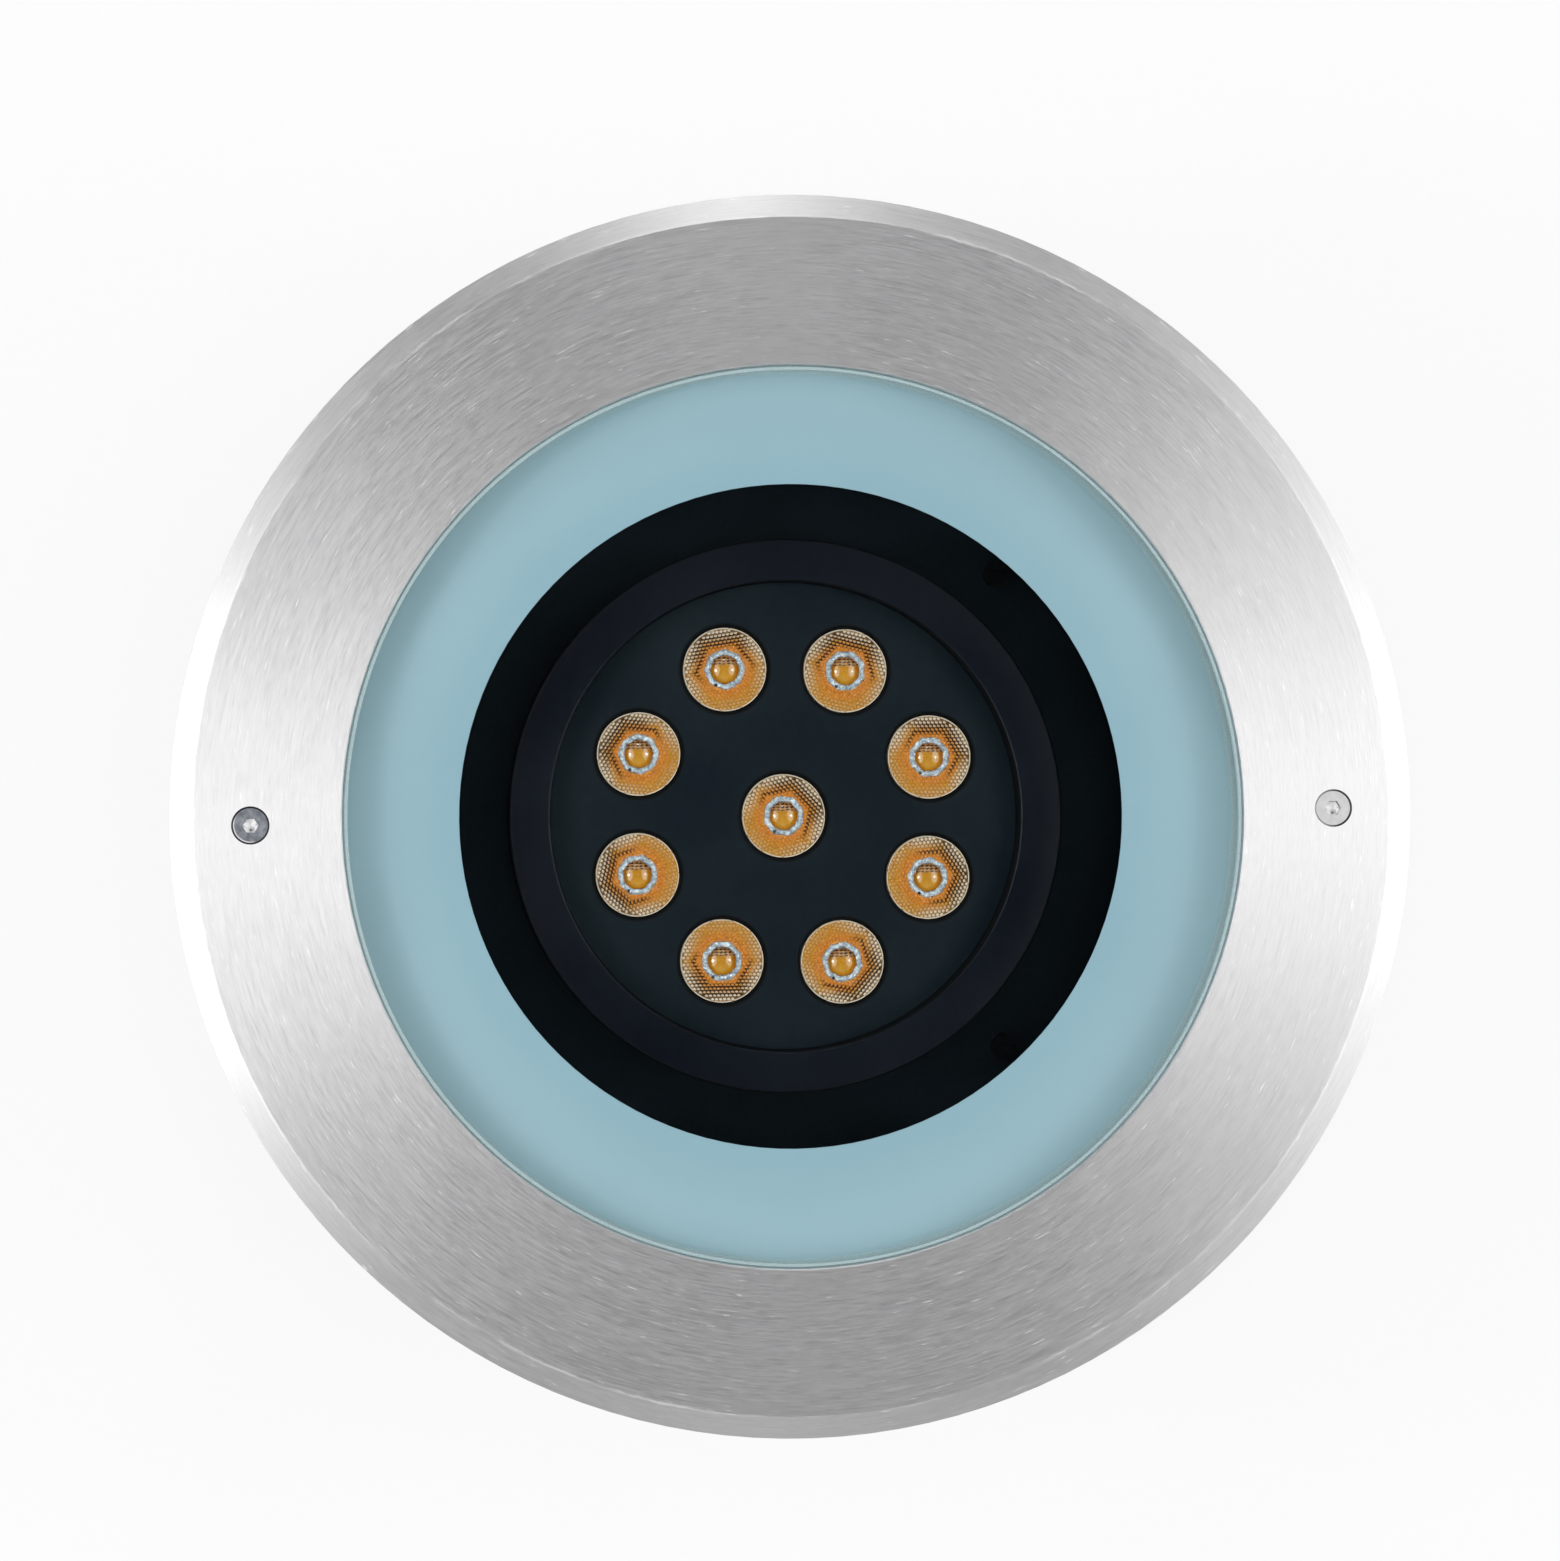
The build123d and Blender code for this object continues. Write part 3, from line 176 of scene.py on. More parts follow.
def ramp(tree, factor, stops):
    made = tree.nodes.new("ShaderNodeValToRGB")
    tree.links.new(factor, made.inputs["Fac"])
    while len(made.color_ramp.elements) < len(stops):
        made.color_ramp.elements.new(0.5)
    for element, (place, colour) in zip(made.color_ramp.elements, stops):
        element.position = place
        element.color = rgba(colour)
    return made.outputs["Color"]


def object_place(tree, scale=(1.0, 1.0, 1.0), centre=ORIGIN, turn=0.0):
    """Object coordinates, moved so that centre is zero, scaled, and turned round the vertical."""
    start = put(tree, "ShaderNodeTexCoord").outputs["Object"]
    moved = put(tree, "ShaderNodeMapping", {"Vector": start}, vector_type="POINT")
    shift = Vector(-c * s for c, s in zip(centre, scale))
    moved.inputs["Location"].default_value = Matrix.Rotation(turn, 3, "Z") @ shift
    moved.inputs["Rotation"].default_value = (0.0, 0.0, turn)
    moved.inputs["Scale"].default_value = scale
    return moved.outputs["Vector"]


def noise(tree, vector, scale, detail, roughness):
    made = put(tree, "ShaderNodeTexNoise",
               {"Vector": vector, "Scale": scale, "Detail": detail, "Roughness": roughness})
    return made.outputs["Fac"]


def cells(tree, vector, scale, feature="F1"):
    made = put(tree, "ShaderNodeTexVoronoi", {"Vector": vector, "Scale": scale}, feature=feature)
    return made.outputs["Distance"]


def bump(tree, height, depth, strength):
    inputs = {"Height": height, "Distance": depth, "Strength": strength}
    return put(tree, "ShaderNodeBump", inputs).outputs["Normal"]


def new_finish(name):
    """A material with one principled surface, and its tree."""
    finish = bpy.data.materials.new(name)
    finish.use_nodes = True
    tree = finish.node_tree
    surface = tree.nodes["Principled BSDF"]
    return finish, tree, surface


def coat(tree, surface, colour, roughness, normal=None, metallic=None):
    """Feeds the surface with what the nodes work out."""
    for name, value in (("Base Color", colour), ("Roughness", roughness), ("Normal", normal),
                        ("Metallic", metallic)):
        if value is not None:
            tree.links.new(value, surface.inputs[name])


def set_values(surface, values):
    for name, value in values.items():
        surface.inputs[name].default_value = value


def around_axis(tree, across=1.0, along=1.0, centre=ORIGIN):
    """Coordinates in circles round a vertical axis: fine across the circles, long along them."""
    place = object_place(tree, centre=centre)
    parts = parts_of(tree, place)
    flat = put(tree, "ShaderNodeCombineXYZ", {"X": parts["X"], "Y": parts["Y"]}).outputs[0]
    radius = distance(tree, flat)
    unit = parts_of(tree, vector_calc(tree, "NORMALIZE", flat))
    circling = put(tree, "ShaderNodeCombineXYZ", {
        "X": times(tree, unit["X"], along),
        "Y": times(tree, unit["Y"], along),
        "Z": times(tree, calc(tree, "ADD", radius, parts["Z"]), across),
    }).outputs[0]
    return circling, radius, place


def hexagon_reach(tree, flat, turn, even=1.0):
    """How far out a place lies, measured square to the nearest side of a turned hexagon."""
    reach = None
    for normal in row_normals(turn):
        along = vector_calc(tree, "DOT_PRODUCT", flat, normal / even, "Value")
        along = calc(tree, "ABSOLUTE", along)
        reach = along if reach is None else calc(tree, "MAXIMUM", reach, along)
    return reach


# ---------------------------------------------------------------- finishes

def brushed_bezel_steel():
    """Stainless steel brushed round its circle and scratched; painted highlight along its bevel's
    edge, painted shade in its screw countersinks.
    """
    finish, tree, surface = new_finish("bezel_brushed_stainless")
    strokes, radius, place = around_axis(tree, 4200.0, 30.0)
    fine = noise(tree, strokes, 1.0, 3.0, 0.6)
    long_strokes, _, _ = around_axis(tree, 2600.0, 9.0)
    coarse = noise(tree, long_strokes, 1.0, 2.0, 0.5)
    brushed = mean_of(tree, fine, coarse, 0.6)
    steel = ramp(tree, brushed, [
        (0.28, (0.71, 0.71, 0.715)), (0.5, (0.79, 0.79, 0.79)), (0.66, (0.835, 0.835, 0.835)),
        (0.80, (0.89, 0.89, 0.885)),
    ])
    cloud = noise(tree, place, 22.0, 2.0, 0.5)
    tint = ramp(tree, cloud, [(0.35, (0.972, 0.965, 0.972)), (0.65, (1.0, 0.993, 1.0))])
    steel = product_of(tree, steel, tint)
    scratch_strokes, _, _ = around_axis(tree, 3400.0, 26.0)
    scratches = fade(tree, noise(tree, scratch_strokes, 1.0, 1.0, 0.5), 0.70, 0.78)
    # Painted highlight: a patchy light band where the flat meets the bevel; with the scratches it
    # also takes some metal away there.
    wander = times(tree, noise(tree, place, 420.0, 2.0, 0.5), 1.0 * MM)
    from_edge = calc(tree, "ADD", radius, wander)
    from_edge = calc(tree, "SUBTRACT", from_edge, BEZEL_BEVEL_RADIUS + 0.5 * MM)
    from_edge = calc(tree, "ABSOLUTE", from_edge)
    edge_highlight_patches = fade(tree, noise(tree, place, 60.0, 3.0, 0.6), 0.35, 0.70, 0.05, 0.55)
    edge = times(tree, fade(tree, from_edge, 0.6 * MM, 0.1 * MM), edge_highlight_patches)
    bright = calc(tree, "MAXIMUM", times(tree, scratches, 0.8), edge)
    steel = blend_colours(tree, bright, steel, (0.97, 0.97, 0.97))
    flat = flattened(tree, place)
    # Painted shade: the countersinks round the screw heads are painted near black, the right one
    # more on its outer side.
    sinks = []
    for along in (-BEZEL_SCREW_CIRCLE, BEZEL_SCREW_CIRCLE):
        gap = distance(tree, flat, (along, 0.0, 0.0))
        sinks.append(fade(tree, gap, BEZEL_SINK_RADIUS + 0.08 * MM,
                          BEZEL_SINK_RADIUS - 0.05 * MM))
    shaded = fade(tree, parts_of(tree, place)["X"], BEZEL_SCREW_CIRCLE - 3.0 * MM,
                  BEZEL_SCREW_CIRCLE + 2.0 * MM, 0.35, 1.0)
    painted_sink_shade = calc(tree, "ADD", sinks[0], times(tree, sinks[1], shaded), clamp=True)
    steel = blend_colours(tree, times(tree, painted_sink_shade, 0.96), steel, (0.022, 0.023, 0.026))
    coat(tree, surface, steel, spread(tree, brushed, 0.43, 0.53),
         bump(tree, brushed, 0.02 * MM, 0.5), fade(tree, bright, 0.0, 1.0, 1.0, 0.6))
    set_values(surface, {"Anisotropic": 0.6, "Anisotropic Rotation": 0.25})
    direction = put(tree, "ShaderNodeTangent", direction_type="RADIAL", axis="Z")
    tree.links.new(direction.outputs["Tangent"], surface.inputs["Tangent"])
    return finish


def bezel_screw_steel(name, centre, dark, light, rim):
    """Satin screw head, with a painted highlight on its rim at the lower left, and painted glints
    and painted shade in its socket.
    """
    finish, tree, surface = new_finish(name)
    circles, radius, place = around_axis(tree, 6000.0, 30.0, centre)
    lines = noise(tree, circles, 1.0, 2.0, 0.5)
    patches = noise(tree, place, 520.0, 2.0, 0.5)
    mixed = mean_of(tree, lines, patches, 0.25)
    steel = ramp(tree, mixed, [(0.38, dark), (0.62, light)])
    flat = flattened(tree, place)
    # Painted highlight: the rim of the head is lighter on its lower left.
    lit_side = vector_calc(tree, "DOT_PRODUCT", flat, (-0.8, -0.6, 0.0), "Value")
    on_rim = times(tree, fade(tree, radius, SCREW_HEAD_RADIUS - 0.37 * MM,
                              SCREW_HEAD_RADIUS - 0.23 * MM),
                   fade(tree, lit_side, 1.0 * MM, 3.0 * MM))
    steel = blend_colours(tree, on_rim, steel, rim)
    parts = parts_of(tree, place)
    # Painted glints and painted shade in the socket: bright facets, a dark patch below its middle,
    # and walls that are darker towards the top.
    hollow = fade(tree, parts["Z"], -0.08 * MM, -0.4 * MM)
    facets = noise(tree, place, 700.0, 1.0, 0.5)
    inside = ramp(tree, facets, [
        (0.36, (0.52, 0.52, 0.525)), (0.48, (0.86, 0.86, 0.865)), (0.60, (0.98, 0.98, 0.98))])
    gap = distance(tree, flat, (0.1 * MM, -1.15 * MM, 0.0))
    shaded = fade(tree, gap, 0.55 * MM, 0.2 * MM, 0.0, 0.75)
    inside = blend_colours(tree, shaded, inside, (0.10, 0.10, 0.105))
    socket_wall_shade = times(tree, fade(tree, hexagon_reach(tree, flat, 0.0), SOCKET_HALF_FLATS - 0.25 * MM,
                            SOCKET_HALF_FLATS - 0.05 * MM),
                 fade(tree, parts["Y"], -0.2 * MM, 0.8 * MM, 0.1, 0.85))
    inside = blend_colours(tree, socket_wall_shade, inside, (0.10, 0.10, 0.105))
    coat(tree, surface, blend_colours(tree, hollow, steel, inside),
         spread(tree, mixed, 0.48, 0.58), bump(tree, mixed, 0.02 * MM, 0.4))
    set_values(surface, {"Metallic": 0.35})
    return finish


def turned_metal(name, dark, light, roughness):
    """Metal turned on a lathe, with fine circles and a patchy sheen."""
    finish, tree, surface = new_finish(name)
    circles, _, place = around_axis(tree, 3000.0, 4.0)
    lines = noise(tree, circles, 1.0, 2.0, 0.5)
    patches = noise(tree, place, 90.0, 3.0, 0.6)
    mixed = mean_of(tree, lines, patches, 0.5)
    coat(tree, surface, ramp(tree, mixed, [(0.32, dark), (0.68, light)]),
         spread(tree, mixed, roughness - 0.06, roughness + 0.08),
         bump(tree, lines, 0.03 * MM, 0.5))
    set_values(surface, {"Metallic": 1.0})
    return finish


def powder_coat(name, dark, light, roughness, grain=900.0, depth=0.06 * MM, pitted=0.4):
    """Stoved powder paint: orange peel, fine pores and a slightly uneven gloss."""
    finish, tree, surface = new_finish(name)
    place = object_place(tree)
    peel = noise(tree, place, grain, 2.0, 0.5)
    pores = cells(tree, place, grain * 2.3)
    patches = noise(tree, place, 24.0, 2.0, 0.5)
    shade = mean_of(tree, peel, patches, 0.35)
    height = calc(tree, "ADD", peel, times(tree, pores, pitted))
    coat(tree, surface, ramp(tree, shade, [(0.35, dark), (0.65, light)]),
         spread(tree, shade, roughness - 0.06, roughness + 0.07),
         bump(tree, height, depth, 0.4))
    set_values(surface, {"Specular IOR Level": 0.2})
    return finish


def satin_paint(name, dark, light):
    """The finer, smoother paint of the lamp head."""
    finish = powder_coat(name, dark, light, 0.345, grain=500.0, depth=0.01 * MM, pitted=0.05)
    return finish, finish.node_tree


def blacken_where(tree, share):
    """Turns a paint black and matt where share is 1, as in a seam that light doesn't reach."""
    surface = tree.nodes["Principled BSDF"]
    dulled_values = {"Base Color": (0.0010, 0.0012, 0.0016), "Roughness": (0.85, 0.85, 0.85)}
    for name, dulled in dulled_values.items():
        socket = surface.inputs[name]
        painted = socket.links[0].from_socket
        tree.links.new(blend_colours(tree, share, painted, dulled), socket)


def plate_coat(name, dark, light):
    """The lens plate's paint, with painted shade close round each lens."""
    finish, tree = satin_paint(name, dark, light)
    place = object_place(tree)
    nearest = None
    for lens in LENS_TURNS:
        gap = vector_calc(tree, "SUBTRACT", place, lens_centre(lens))
        gap = distance(tree, flattened(tree, gap))
        nearest = gap if nearest is None else calc(tree, "MINIMUM", nearest, gap)
    # Painted shade: the paint turns black and matt in a ring round each lens hole.
    blacken_where(tree, fade(tree, nearest, LENS_HOLE_EDGE + 0.4 * MM, LENS_HOLE_EDGE - 0.4 * MM))
    return finish


def ring_coat(name, dark, light):
    """The head ring's paint, with painted shade down its outer side and in its bore."""
    finish, tree = satin_paint(name, dark, light)
    _, radius, _ = around_axis(tree)
    outer = fade(tree, radius, RING_RADIUS - 0.9 * MM, RING_RADIUS - 0.3 * MM)
    inner = fade(tree, radius, RING_BORE + 0.4 * MM, RING_BORE)
    # Painted shade: black and matt on the outer side and in the bore.
    blacken_where(tree, times(tree, calc(tree, "ADD", outer, inner, clamp=True), 0.85))
    return finish


def casting_paint():
    """Die-cast aluminium under thin black paint: a coarser skin, flow marks and small pits."""
    finish, tree, surface = new_finish("housing_cast_black")
    place = object_place(tree)
    skin = noise(tree, place, 1300.0, 3.0, 0.6)
    flow = noise(tree, object_place(tree, (1.0, 1.0, 0.35)), 60.0, 3.0, 0.6)
    pits = cells(tree, place, 1500.0)
    shade = mean_of(tree, skin, flow, 0.4)
    painted = ramp(tree, shade, [
        (0.3, (0.0045, 0.0055, 0.0065)), (0.6, (0.008, 0.0095, 0.011)),
        (0.8, (0.014, 0.015, 0.017))])
    height = calc(tree, "ADD", skin, times(tree, pits, 0.35))
    coat(tree, surface, painted, spread(tree, shade, 0.42, 0.6),
         bump(tree, height, 0.05 * MM, 0.3))
    return finish


def moulded_plastic(name, dark, light, roughness, grain=1500.0, depth=0.05 * MM, flow=30.0,
                    through=0.0):
    """Moulded plastic: spark texture and flow marks; through is how far light soaks in."""
    finish, tree, surface = new_finish(name)
    spark = noise(tree, object_place(tree), grain, 3.0, 0.65)
    marks = noise(tree, object_place(tree, (1.0, 1.0, 0.3)), flow, 3.0, 0.55)
    shade = mean_of(tree, spark, marks, 0.35)
    coat(tree, surface, ramp(tree, shade, [(0.33, dark), (0.67, light)]),
         spread(tree, shade, roughness - 0.08, roughness + 0.08),
         bump(tree, spark, depth, 0.6))
    set_values(surface, {"Subsurface Weight": through, "Subsurface Radius": (0.002, 0.002, 0.002)})
    return finish


def rubber(name, dark, light):
    """Rubber: matt, with a pale bloom in patches and fine mould grain."""
    finish, tree, surface = new_finish(name)
    place = object_place(tree)
    bloom = noise(tree, place, 140.0, 4.0, 0.7)
    grain = noise(tree, place, 2600.0, 2.0, 0.5)
    coat(tree, surface, ramp(tree, bloom, [(0.4, dark), (0.72, light)]),
         spread(tree, grain, 0.7, 0.86), bump(tree, grain, 0.03 * MM, 0.5))
    return finish


def border_ink():
    """Pale blue ceramic ink fired under the glass: fine screen grain, slightly uneven, and lighter
    towards its outer edge as painted light against the bezel's shade.
    """
    finish, tree, surface = new_finish("border_fired_ink")
    place = object_place(tree)
    mottle = noise(tree, place, 28.0, 3.0, 0.5)
    screen = noise(tree, place, 3800.0, 2.0, 0.5)
    _, radius, _ = around_axis(tree)
    # Painted light: the ink is lighter towards the outer edge, where the bezel shades it.
    outward_painted_light = fade(tree, radius, 80.0 * MM, 104.0 * MM)
    ink = blend_colours(tree, outward_painted_light, (0.310, 0.440, 0.505), (0.367, 0.490, 0.543))
    uneven = ramp(tree, mottle, [(0.35, (0.965, 0.97, 0.975)), (0.65, (1.0, 1.0, 1.0))])
    grained = ramp(tree, screen, [(0.3, (0.975, 0.98, 0.98)), (0.7, (1.0, 1.0, 1.0))])
    shade = product_of(tree, product_of(tree, ink, uneven), grained)
    coat(tree, surface, shade, spread(tree, screen, 0.5, 0.62),
         bump(tree, screen, 0.01 * MM, 0.3))
    set_values(surface, {"Specular IOR Level": 0.1})
    return finish


def clear_cover_glass():
    """Toughened glass: clear, faintly green, its ground edge pale and matt."""
    finish, tree, surface = new_finish("cover_toughened_glass")
    tree.nodes.remove(surface)
    end = tree.nodes["Material Output"]
    _, radius, place = around_axis(tree)
    wipe = noise(tree, object_place(tree, (1.0, 3.0, 1.0)), 30.0, 1.0, 0.5)
    facing = put(tree, "ShaderNodeLayerWeight", {"Blend": 0.5}).outputs["Facing"]
    glancing = times(tree, calc(tree, "POWER", facing, 5.0), 0.9)
    straight_on = 0.02
    backfacing = put(tree, "ShaderNodeNewGeometry").outputs["Backfacing"]
    outside = calc(tree, "SUBTRACT", 1.0, backfacing)
    gloss = times(tree, calc(tree, "ADD", glancing, straight_on), outside)
    clear = put(tree, "ShaderNodeBsdfTransparent", {"Color": (0.955, 0.985, 0.985, 1.0)})
    mirror = put(tree, "ShaderNodeBsdfAnisotropic",
                 {"Roughness": fade(tree, wipe, 0.3, 0.8, 0.02, 0.035)})
    body = put(tree, "ShaderNodeMixShader", {0: gloss, 1: clear.outputs[0], 2: mirror.outputs[0]})
    ground_grain = noise(tree, place, 2500.0, 3.0, 0.6)
    ground = put(tree, "ShaderNodeBsdfDiffuse", {
        "Color": ramp(tree, ground_grain, [(0.3, (0.50, 0.64, 0.66)), (0.7, (0.68, 0.80, 0.81))]),
        "Roughness": 0.4})
    ground_from = PANE_RADIUS - PANE_ARRIS - 0.1 * MM
    on_edge = fade(tree, radius, ground_from, ground_from + 0.2 * MM, 0.0, 0.5)
    whole = put(tree, "ShaderNodeMixShader", {0: on_edge, 1: body.outputs[0], 2: ground.outputs[0]})
    tree.links.new(whole.outputs[0], end.inputs["Surface"])
    return finish


def board_white():
    """White solder mask with the copper tracks faintly raised under it."""
    finish, tree, surface = new_finish("led_board_white_mask")
    place = object_place(tree)
    raised = fade(tree, cells(tree, place, 95.0, "DISTANCE_TO_EDGE"), 0.05, 0.09)
    grain = noise(tree, place, 1500.0, 2.0, 0.5)
    coat(tree, surface, blend_colours(tree, raised, (0.62, 0.63, 0.61), (0.78, 0.78, 0.75)),
         spread(tree, grain, 0.36, 0.5), bump(tree, raised, 0.04 * MM, 0.5))
    return finish


def board_green():
    """Green circuit board: tracks under the lacquer, bare pads and woven glass."""
    finish, tree, surface = new_finish("driver_circuit_board")
    place = object_place(tree)
    tracks = fade(tree, cells(tree, place, 160.0, "DISTANCE_TO_EDGE"), 0.05, 0.10)
    pads = fade(tree, cells(tree, place, 230.0), 0.16, 0.20, 1.0, 0.0)
    weave = noise(tree, place, 1800.0, 2.0, 0.5)
    lacquer = blend_colours(tree, tracks, (0.02, 0.12, 0.05), (0.008, 0.055, 0.026))
    coat(tree, surface, blend_colours(tree, pads, lacquer, (0.62, 0.6, 0.55)),
         spread(tree, weave, 0.3, 0.45), bump(tree, tracks, 0.05 * MM, 0.6), pads)
    return finish


def led_ceramic():
    """The white ceramic that carries an LED, faintly speckled."""
    finish, tree, surface = new_finish("led_package_ceramic")
    speckle = noise(tree, object_place(tree), 2400.0, 3.0, 0.6)
    coat(tree, surface, ramp(tree, speckle, [(0.3, (0.70, 0.68, 0.62)), (0.7, (0.84, 0.83, 0.78))]),
         spread(tree, speckle, 0.4, 0.55), bump(tree, speckle, 0.02 * MM, 0.4))
    return finish


def led_phosphor():
    """The dome of an LED: yellow powder in clear resin."""
    finish, tree, surface = new_finish("led_dome_phosphor")
    powder = noise(tree, object_place(tree), 1900.0, 3.0, 0.6)
    coat(tree, surface, ramp(tree, powder, [(0.3, (0.62, 0.30, 0.03)), (0.7, (0.80, 0.46, 0.07))]),
         spread(tree, powder, 0.18, 0.3))
    set_values(surface, {"Coat Weight": 0.8, "Coat Roughness": 0.05})
    return finish


# The colours of a lens: the lamp seen through it, painted shade between and behind the beads, and
# painted glints on the beads and the pale rim.
AMBER = (0.66, 0.295, 0.022)
ORANGE = (0.74, 0.265, 0.035)
DARK_PAINTED_SHADE = (0.030, 0.011, 0.007)
HOLLOW_PAINTED_SHADE = (0.20, 0.105, 0.045)
PAINTED_GLINT = (0.80, 0.67, 0.54)


def lens_zones(tree, reach, side):
    """Where a lens gets painted glints (pale) and painted shade (dark). Reach: how far out a row of
    beads is. Side 1: the shaded side.
    """
    pale = times(tree, fade(tree, reach, 0.66, 0.96), fade(tree, side, -0.95, 0.10, 0.22, 0.95))
    rows = times(tree, fade(tree, reach, 0.53, 0.60), fade(tree, side, 0.05, 0.75))
    rows = times(tree, rows, fade(tree, reach, 1.02, 0.80))
    ring = times(tree, fade(tree, reach, 0.57, 0.61), fade(tree, reach, 0.72, 0.67))
    ring = times(tree, ring, fade(tree, side, -0.45, 0.15))
    return pale, calc(tree, "MAXIMUM", rows, ring)


def lamp_colour(tree, radius, ripple, dimmed):
    """The lamp seen through a lens, orange in the middle and unevenly bright."""
    base = blend_colours(tree, fade(tree, radius, 0.86, 0.55), AMBER, ORANGE)
    return product_of(tree, base, ramp(tree, ripple, [(0.35, dimmed), (0.65, (1.0, 1.0, 1.0))]))


def lens_resin(name, centre, turn, row_turn):
    """Clear lens body, the floor between the beads: the lamp seen through it, painted shade and
    glints.
    """
    finish, tree, surface = new_finish(name)
    scale = 1.0 / LENS_FACE_RADIUS
    place = object_place(tree, (scale, scale, scale), centre, turn)
    flat = flattened(tree, place)
    radius = distance(tree, flat)
    side = parts_of(tree, vector_calc(tree, "NORMALIZE", flat))["Y"]
    pale, dark = lens_zones(tree, hexagon_reach(tree, flat, row_turn, ROW_EVEN), side)
    ripple = noise(tree, place, 9.0, 3.0, 0.6)
    base = lamp_colour(tree, radius, ripple, (0.80, 0.72, 0.6))
    # Painted shade between the beads and in the dark rows, a painted glint on the rim, painted
    # shade past the face.
    base = blend_colours(tree, pale, base, HOLLOW_PAINTED_SHADE)
    base = blend_colours(tree, times(tree, dark, 0.9), base, DARK_PAINTED_SHADE)
    base = blend_colours(tree, times(tree, fade(tree, radius, 0.968, 0.982), 0.8), base, PAINTED_GLINT)
    base = blend_colours(tree, fade(tree, radius, 1.002, 1.008), base, (0.012, 0.012, 0.013))
    coat(tree, surface, base, spread(tree, ripple, 0.12, 0.24),
         bump(tree, ripple, 0.08 * MM, 0.4))
    set_values(surface, {"IOR": 1.49})
    return finish


def lens_beads_resin():
    """The beads of clear resin: amber from behind, painted glints near the rim, painted shade on
    their far sides.
    """
    finish, tree, surface = new_finish("lens_bead_resin")
    place = mapped(tree, LENS_MAP)
    radius = times(tree, distance(tree, place, (0.5, 0.5, 0.0)), 2.0)
    row = parts_of(tree, mapped(tree, ROW_MAP))
    pale, dark = lens_zones(tree, row["X"], from_half(tree, row["Y"]))
    ripple = noise(tree, place, 26.0, 3.0, 0.65)
    base = lamp_colour(tree, radius, ripple, (0.78, 0.68, 0.55))
    # Painted glints on the near side of each bead, painted shade on its far side.
    own_height = parts_of(tree, mapped(tree, BEAD_MAP))["Y"]
    near_side = fade(tree, own_height, 0.75, 0.35, 0.45, 1.0)
    base = blend_colours(tree, times(tree, pale, near_side), base, PAINTED_GLINT)
    far_side = times(tree, fade(tree, own_height, 0.46, 0.64), times(tree, dark, 0.95))
    base = blend_colours(tree, far_side, base, DARK_PAINTED_SHADE)
    coat(tree, surface, base, spread(tree, ripple, 0.10, 0.22))
    set_values(surface, {"IOR": 1.49, "Coat Weight": 0.5, "Coat Roughness": 0.08})
    return finish


def lens_eye_resin():
    """The glossy middle of the lens: the lamp seen through it, darker on its upper half, with a
    pale band and a few dark facets painted as reflections along its top.
    """
    finish, tree, surface = new_finish("lens_eye_resin")
    place = mapped(tree, LENS_MAP)
    parts = parts_of(tree, place)
    across = from_half(tree, parts["X"])
    upward = from_half(tree, parts["Y"])
    ripple = noise(tree, place, 30.0, 2.0, 0.5)
    # Painted reflections: the upper half darker, a pale band and rows of dark facets along the top.
    upper_half = fade(tree, upward, -0.3, 0.25)
    lamp_view_and_reflections = blend_colours(tree, upper_half, (0.66, 0.30, 0.018), (0.56, 0.22, 0.010))
    soft = ramp(tree, ripple, [(0.35, (0.88, 0.84, 0.8)), (0.65, (1.0, 1.0, 1.0))])
    lamp_view_and_reflections = product_of(tree, lamp_view_and_reflections, soft)
    jitter = noise(tree, place, 24.0, 1.0, 0.5)
    shifted = calc(tree, "ADD", upward, times(tree, jitter, 0.05))
    rows = calc(tree, "SINE", times(tree, shifted, 88.0))
    studs = calc(tree, "ADD", times(tree, across, 58.0), times(tree, jitter, 5.0))
    studs = times(tree, calc(tree, "SINE", studs), 0.75)
    spots = fade(tree, calc(tree, "ADD", rows, studs), -0.10, 0.55)
    top = times(tree, fade(tree, upward, 0.09, 0.15), fade(tree, upward, 0.35, 0.31))
    lamp_view_and_reflections = blend_colours(tree, times(tree, top, 0.35), lamp_view_and_reflections, (0.60, 0.42, 0.30))
    spots = times(tree, spots, times(tree, top, 0.92))
    lamp_view_and_reflections = blend_colours(tree, spots, lamp_view_and_reflections, (0.030, 0.012, 0.008))
    coat(tree, surface, lamp_view_and_reflections, spread(tree, ripple, 0.12, 0.18))
    set_values(surface, {"IOR": 1.6, "Coat Weight": 1.0, "Coat Roughness": 0.07})
    return finish


def lens_collar_painted_reflection():
    """Crumpled bright ring round the middle of the lens, a painted reflection: facets, glints and a
    dark speck.
    """
    finish, tree, surface = new_finish("lens_collar_painted_reflection")
    place = object_place(tree)
    facets = cells(tree, place, 1300.0)
    glints = noise(tree, place, 1100.0, 3.0, 0.65)
    shade = ramp(tree, glints, [
        (0.30, (0.30, 0.33, 0.37)), (0.5, (0.48, 0.51, 0.56)), (0.68, (0.80, 0.82, 0.84))])
    gap = distance(tree, mapped(tree, LENS_MAP), (0.388, 0.312, 0.0))
    shade = blend_colours(tree, fade(tree, gap, 0.024, 0.016), shade, (0.02, 0.02, 0.022))
    coat(tree, surface, shade, spread(tree, glints, 0.22, 0.42),
         bump(tree, facets, 0.4 * MM, 0.8))
    set_values(surface, {"Metallic": 0.35})
    return finish


